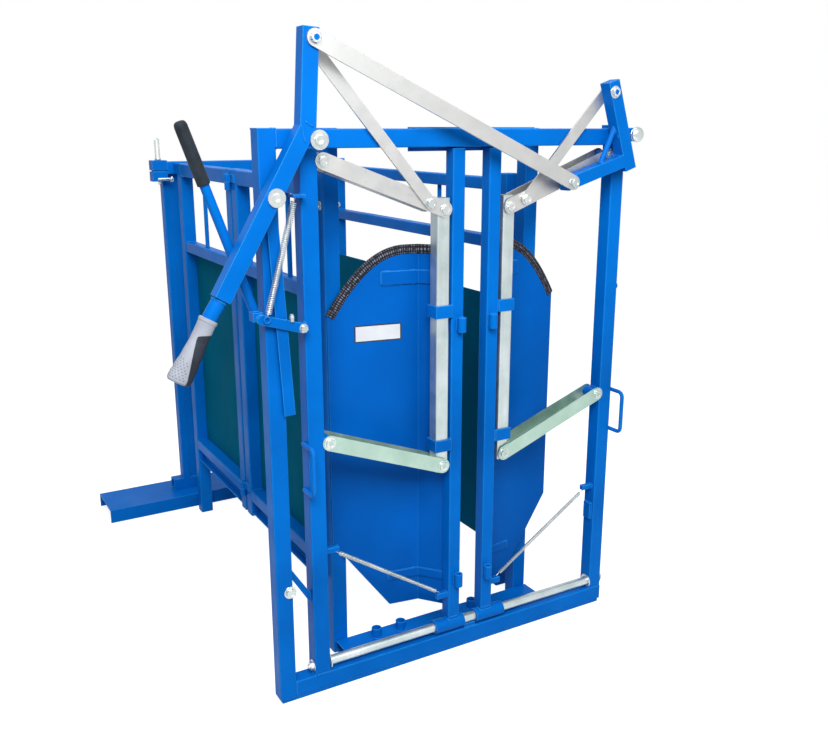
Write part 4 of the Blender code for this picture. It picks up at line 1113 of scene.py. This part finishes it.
piece("frame_welds", frame_beads, BLUE_BEAD, "frame", 0)

door_beads = []
for z, half in WALL_RAILS:
    for y in (DOOR_FRONT_Y + 2 * HALF, DOOR_REAR_Y):
        door_beads += corner_welds(BODY_LEFT, y, z, "y", half, SMALL_WELD)
piece("door_welds", door_beads, BLUE_BEAD, "side_door", 0)

neck_spot = GRIP_START - 0.0345 * GRIP_WAY
lever_beads = [
    weld((-0.4250, -0.0605, 1.2620), (-0.4070, -0.0605, 1.2500), Y_WAY, 0.0019),
    weld((-0.4330, -0.0605, 1.2560), (-0.4255, -0.0605, 1.2200), Y_WAY, 0.0017),
    weld_ring(neck_spot, GRIP_ASIDE, Y_WAY, NECK_RADIUS, GRIP_WAY, 0.0019, 11),
]
piece("lever_welds", lever_beads, BLUE_BEAD, "hand_lever", 0)

# The way down the crank's brace rod; each bead sits a little way in from an end of it
BRACE_WAY = unit(np.array([-0.048, 0.0, -0.102]))
crank_beads = [
    weld_ring(spot + BRACE_WAY * ahead, np.cross(BRACE_WAY, Y_WAY), Y_WAY, 0.0072, BRACE_WAY, 0.0017, 9)
    for spot, ahead in (((0.368, -0.044, 1.262), 0.006), ((0.320, -0.044, 1.160), -0.010))
]
piece("crank_welds", crank_beads, BLUE_BEAD, "right_crank", 0)

eye = (-0.5080, -0.0372, 0.8822) + 0.0062 * circle(40, X_WAY, Z_WAY)
latch_beads = [
    weld((x, -0.0345, z), (end_x, -0.0345, end_z), Y_WAY, 0.0024)
    for x, z, end_x, end_z in (
        (-0.5270, 0.8850, -0.5180, 0.8930),
        (-0.5175, 0.8925, -0.5040, 0.8895),
        (-0.4720, 0.8790, -0.4620, 0.8765),
    )
]
latch_beads.append(round_bar(eye, Y_WAY, 0.0020, 10, closed=True))
piece("latch_eye_and_welds", latch_beads, BLUE_BEAD, "release_latch", 0)
stud_rows = [
    (0.8738, 0.0045, 0.0),
    (0.8790, 0.0045, 0.0),
    (0.8792, 0.0058, 1.0),
    (0.8842, 0.0058, 1.0),
    (0.8852, 0.0050, 0.3),
    (0.8854, 0.0042, 0.0),
    (0.8884, 0.0040, 0.0),
    (0.8890, 0.0030, 0.0),
    (0.8890, 0.0004, 0.0),
]
stud = lathe((-0.4550, -0.0352, 0.0), stud_rows, "z", 36, 0.3)
piece("latch_stop_stud", [stud], ZINC_BOLT, "release_latch", 30)

# Floor, lights and camera

FLOOR_ALBEDO = 0.55
FLOOR_GLOW = 0.80
FLOOR_REACH = 30
FLOOR_Z = -0.0006
WORLD_LIGHT = 0.36


def looked_at(tree):
    """A socket that gives 1 to camera, glossy and transmission rays, and 0 to the light on things."""
    ray = tree.nodes.new("ShaderNodeLightPath")
    found = ray.outputs["Is Camera Ray"]
    for kind in ("Is Glossy Ray", "Is Transmission Ray"):
        greater = tree.nodes.new("ShaderNodeMath")
        greater.operation = "MAXIMUM"
        tree.links.new(found, greater.inputs[0])
        tree.links.new(ray.outputs[kind], greater.inputs[1])
        found = greater.outputs[0]
    return found


def pale_ground():
    """A pale matt floor that takes the shadow, and shows as white to the camera and in reflections."""
    made = bpy.data.materials.new("pale_floor")
    made.use_nodes = True
    tree = made.node_tree
    tree.nodes.clear()
    out = tree.nodes.new("ShaderNodeOutputMaterial")
    matt = tree.nodes.new("ShaderNodeBsdfDiffuse")
    matt.inputs["Color"].default_value = (FLOOR_ALBEDO, FLOOR_ALBEDO, FLOOR_ALBEDO, 1)
    glow = tree.nodes.new("ShaderNodeEmission")
    glow.inputs["Color"].default_value = (1, 1, 1, 1)
    strength = tree.nodes.new("ShaderNodeMath")
    strength.operation = "MULTIPLY"
    strength.inputs[1].default_value = FLOOR_GLOW
    both = tree.nodes.new("ShaderNodeAddShader")
    tree.links.new(looked_at(tree), strength.inputs[0])
    tree.links.new(strength.outputs[0], glow.inputs["Strength"])
    tree.links.new(matt.outputs[0], both.inputs[0])
    tree.links.new(glow.outputs[0], both.inputs[1])
    tree.links.new(both.outputs[0], out.inputs["Surface"])
    return made


floor_mesh = bpy.data.meshes.new("floor")
floor_corners = [(x * FLOOR_REACH, y * FLOOR_REACH, FLOOR_Z) for x, y in ((-1, -1), (1, -1), (1, 1), (-1, 1))]
floor_mesh.from_pydata(floor_corners, [], [(0, 1, 2, 3)])
floor_mesh.materials.append(pale_ground())
floor = placed("floor", floor_mesh)
floor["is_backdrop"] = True

world = bpy.data.worlds.new("studio")
bpy.context.scene.world = world
world.use_nodes = True
tree = world.node_tree
sky = tree.nodes["Background"]
sky.inputs["Color"].default_value = (1, 1, 1, 1)
level = tree.nodes.new("ShaderNodeMapRange")
level.inputs["To Min"].default_value = WORLD_LIGHT
level.inputs["To Max"].default_value = 1.0
tree.links.new(looked_at(tree), level.inputs["Value"])
tree.links.new(level.outputs["Result"], sky.inputs["Strength"])


def lamp(name, place, target, size, power):
    """A square soft light that faces its target."""
    data = bpy.data.lights.new(name, "AREA")
    data.shape = "SQUARE"
    data.size = size
    data.energy = power
    thing = placed(name, data)
    thing.location = place
    thing.rotation_euler = (Vector(target) - Vector(place)).to_track_quat("-Z", "Y").to_euler()


lamp("key_light", (-1.15, -1.75, 2.55), (-0.15, 0.0, 1.15), 1.3, 74)
lamp("front_light", (0.6, -3.1, 2.7), (0.0, 0.2, 0.8), 1.8, 36)
lamp("top_light", (0.0, 0.8, 3.6), (0.0, 0.6, 0.5), 2.2, 34)

view = bpy.data.cameras.new("photo_view")
view.sensor_width = 36.0
view.lens = 39.39
camera = placed("photo_view", view)
camera.location = (-1.1362, -1.6969, 1.248)
camera.rotation_euler = (math.radians(75.07), 0.0, math.radians(-30.11))
bpy.context.scene.camera = camera
bpy.context.scene.view_settings.view_transform = "Standard"

low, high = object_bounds()
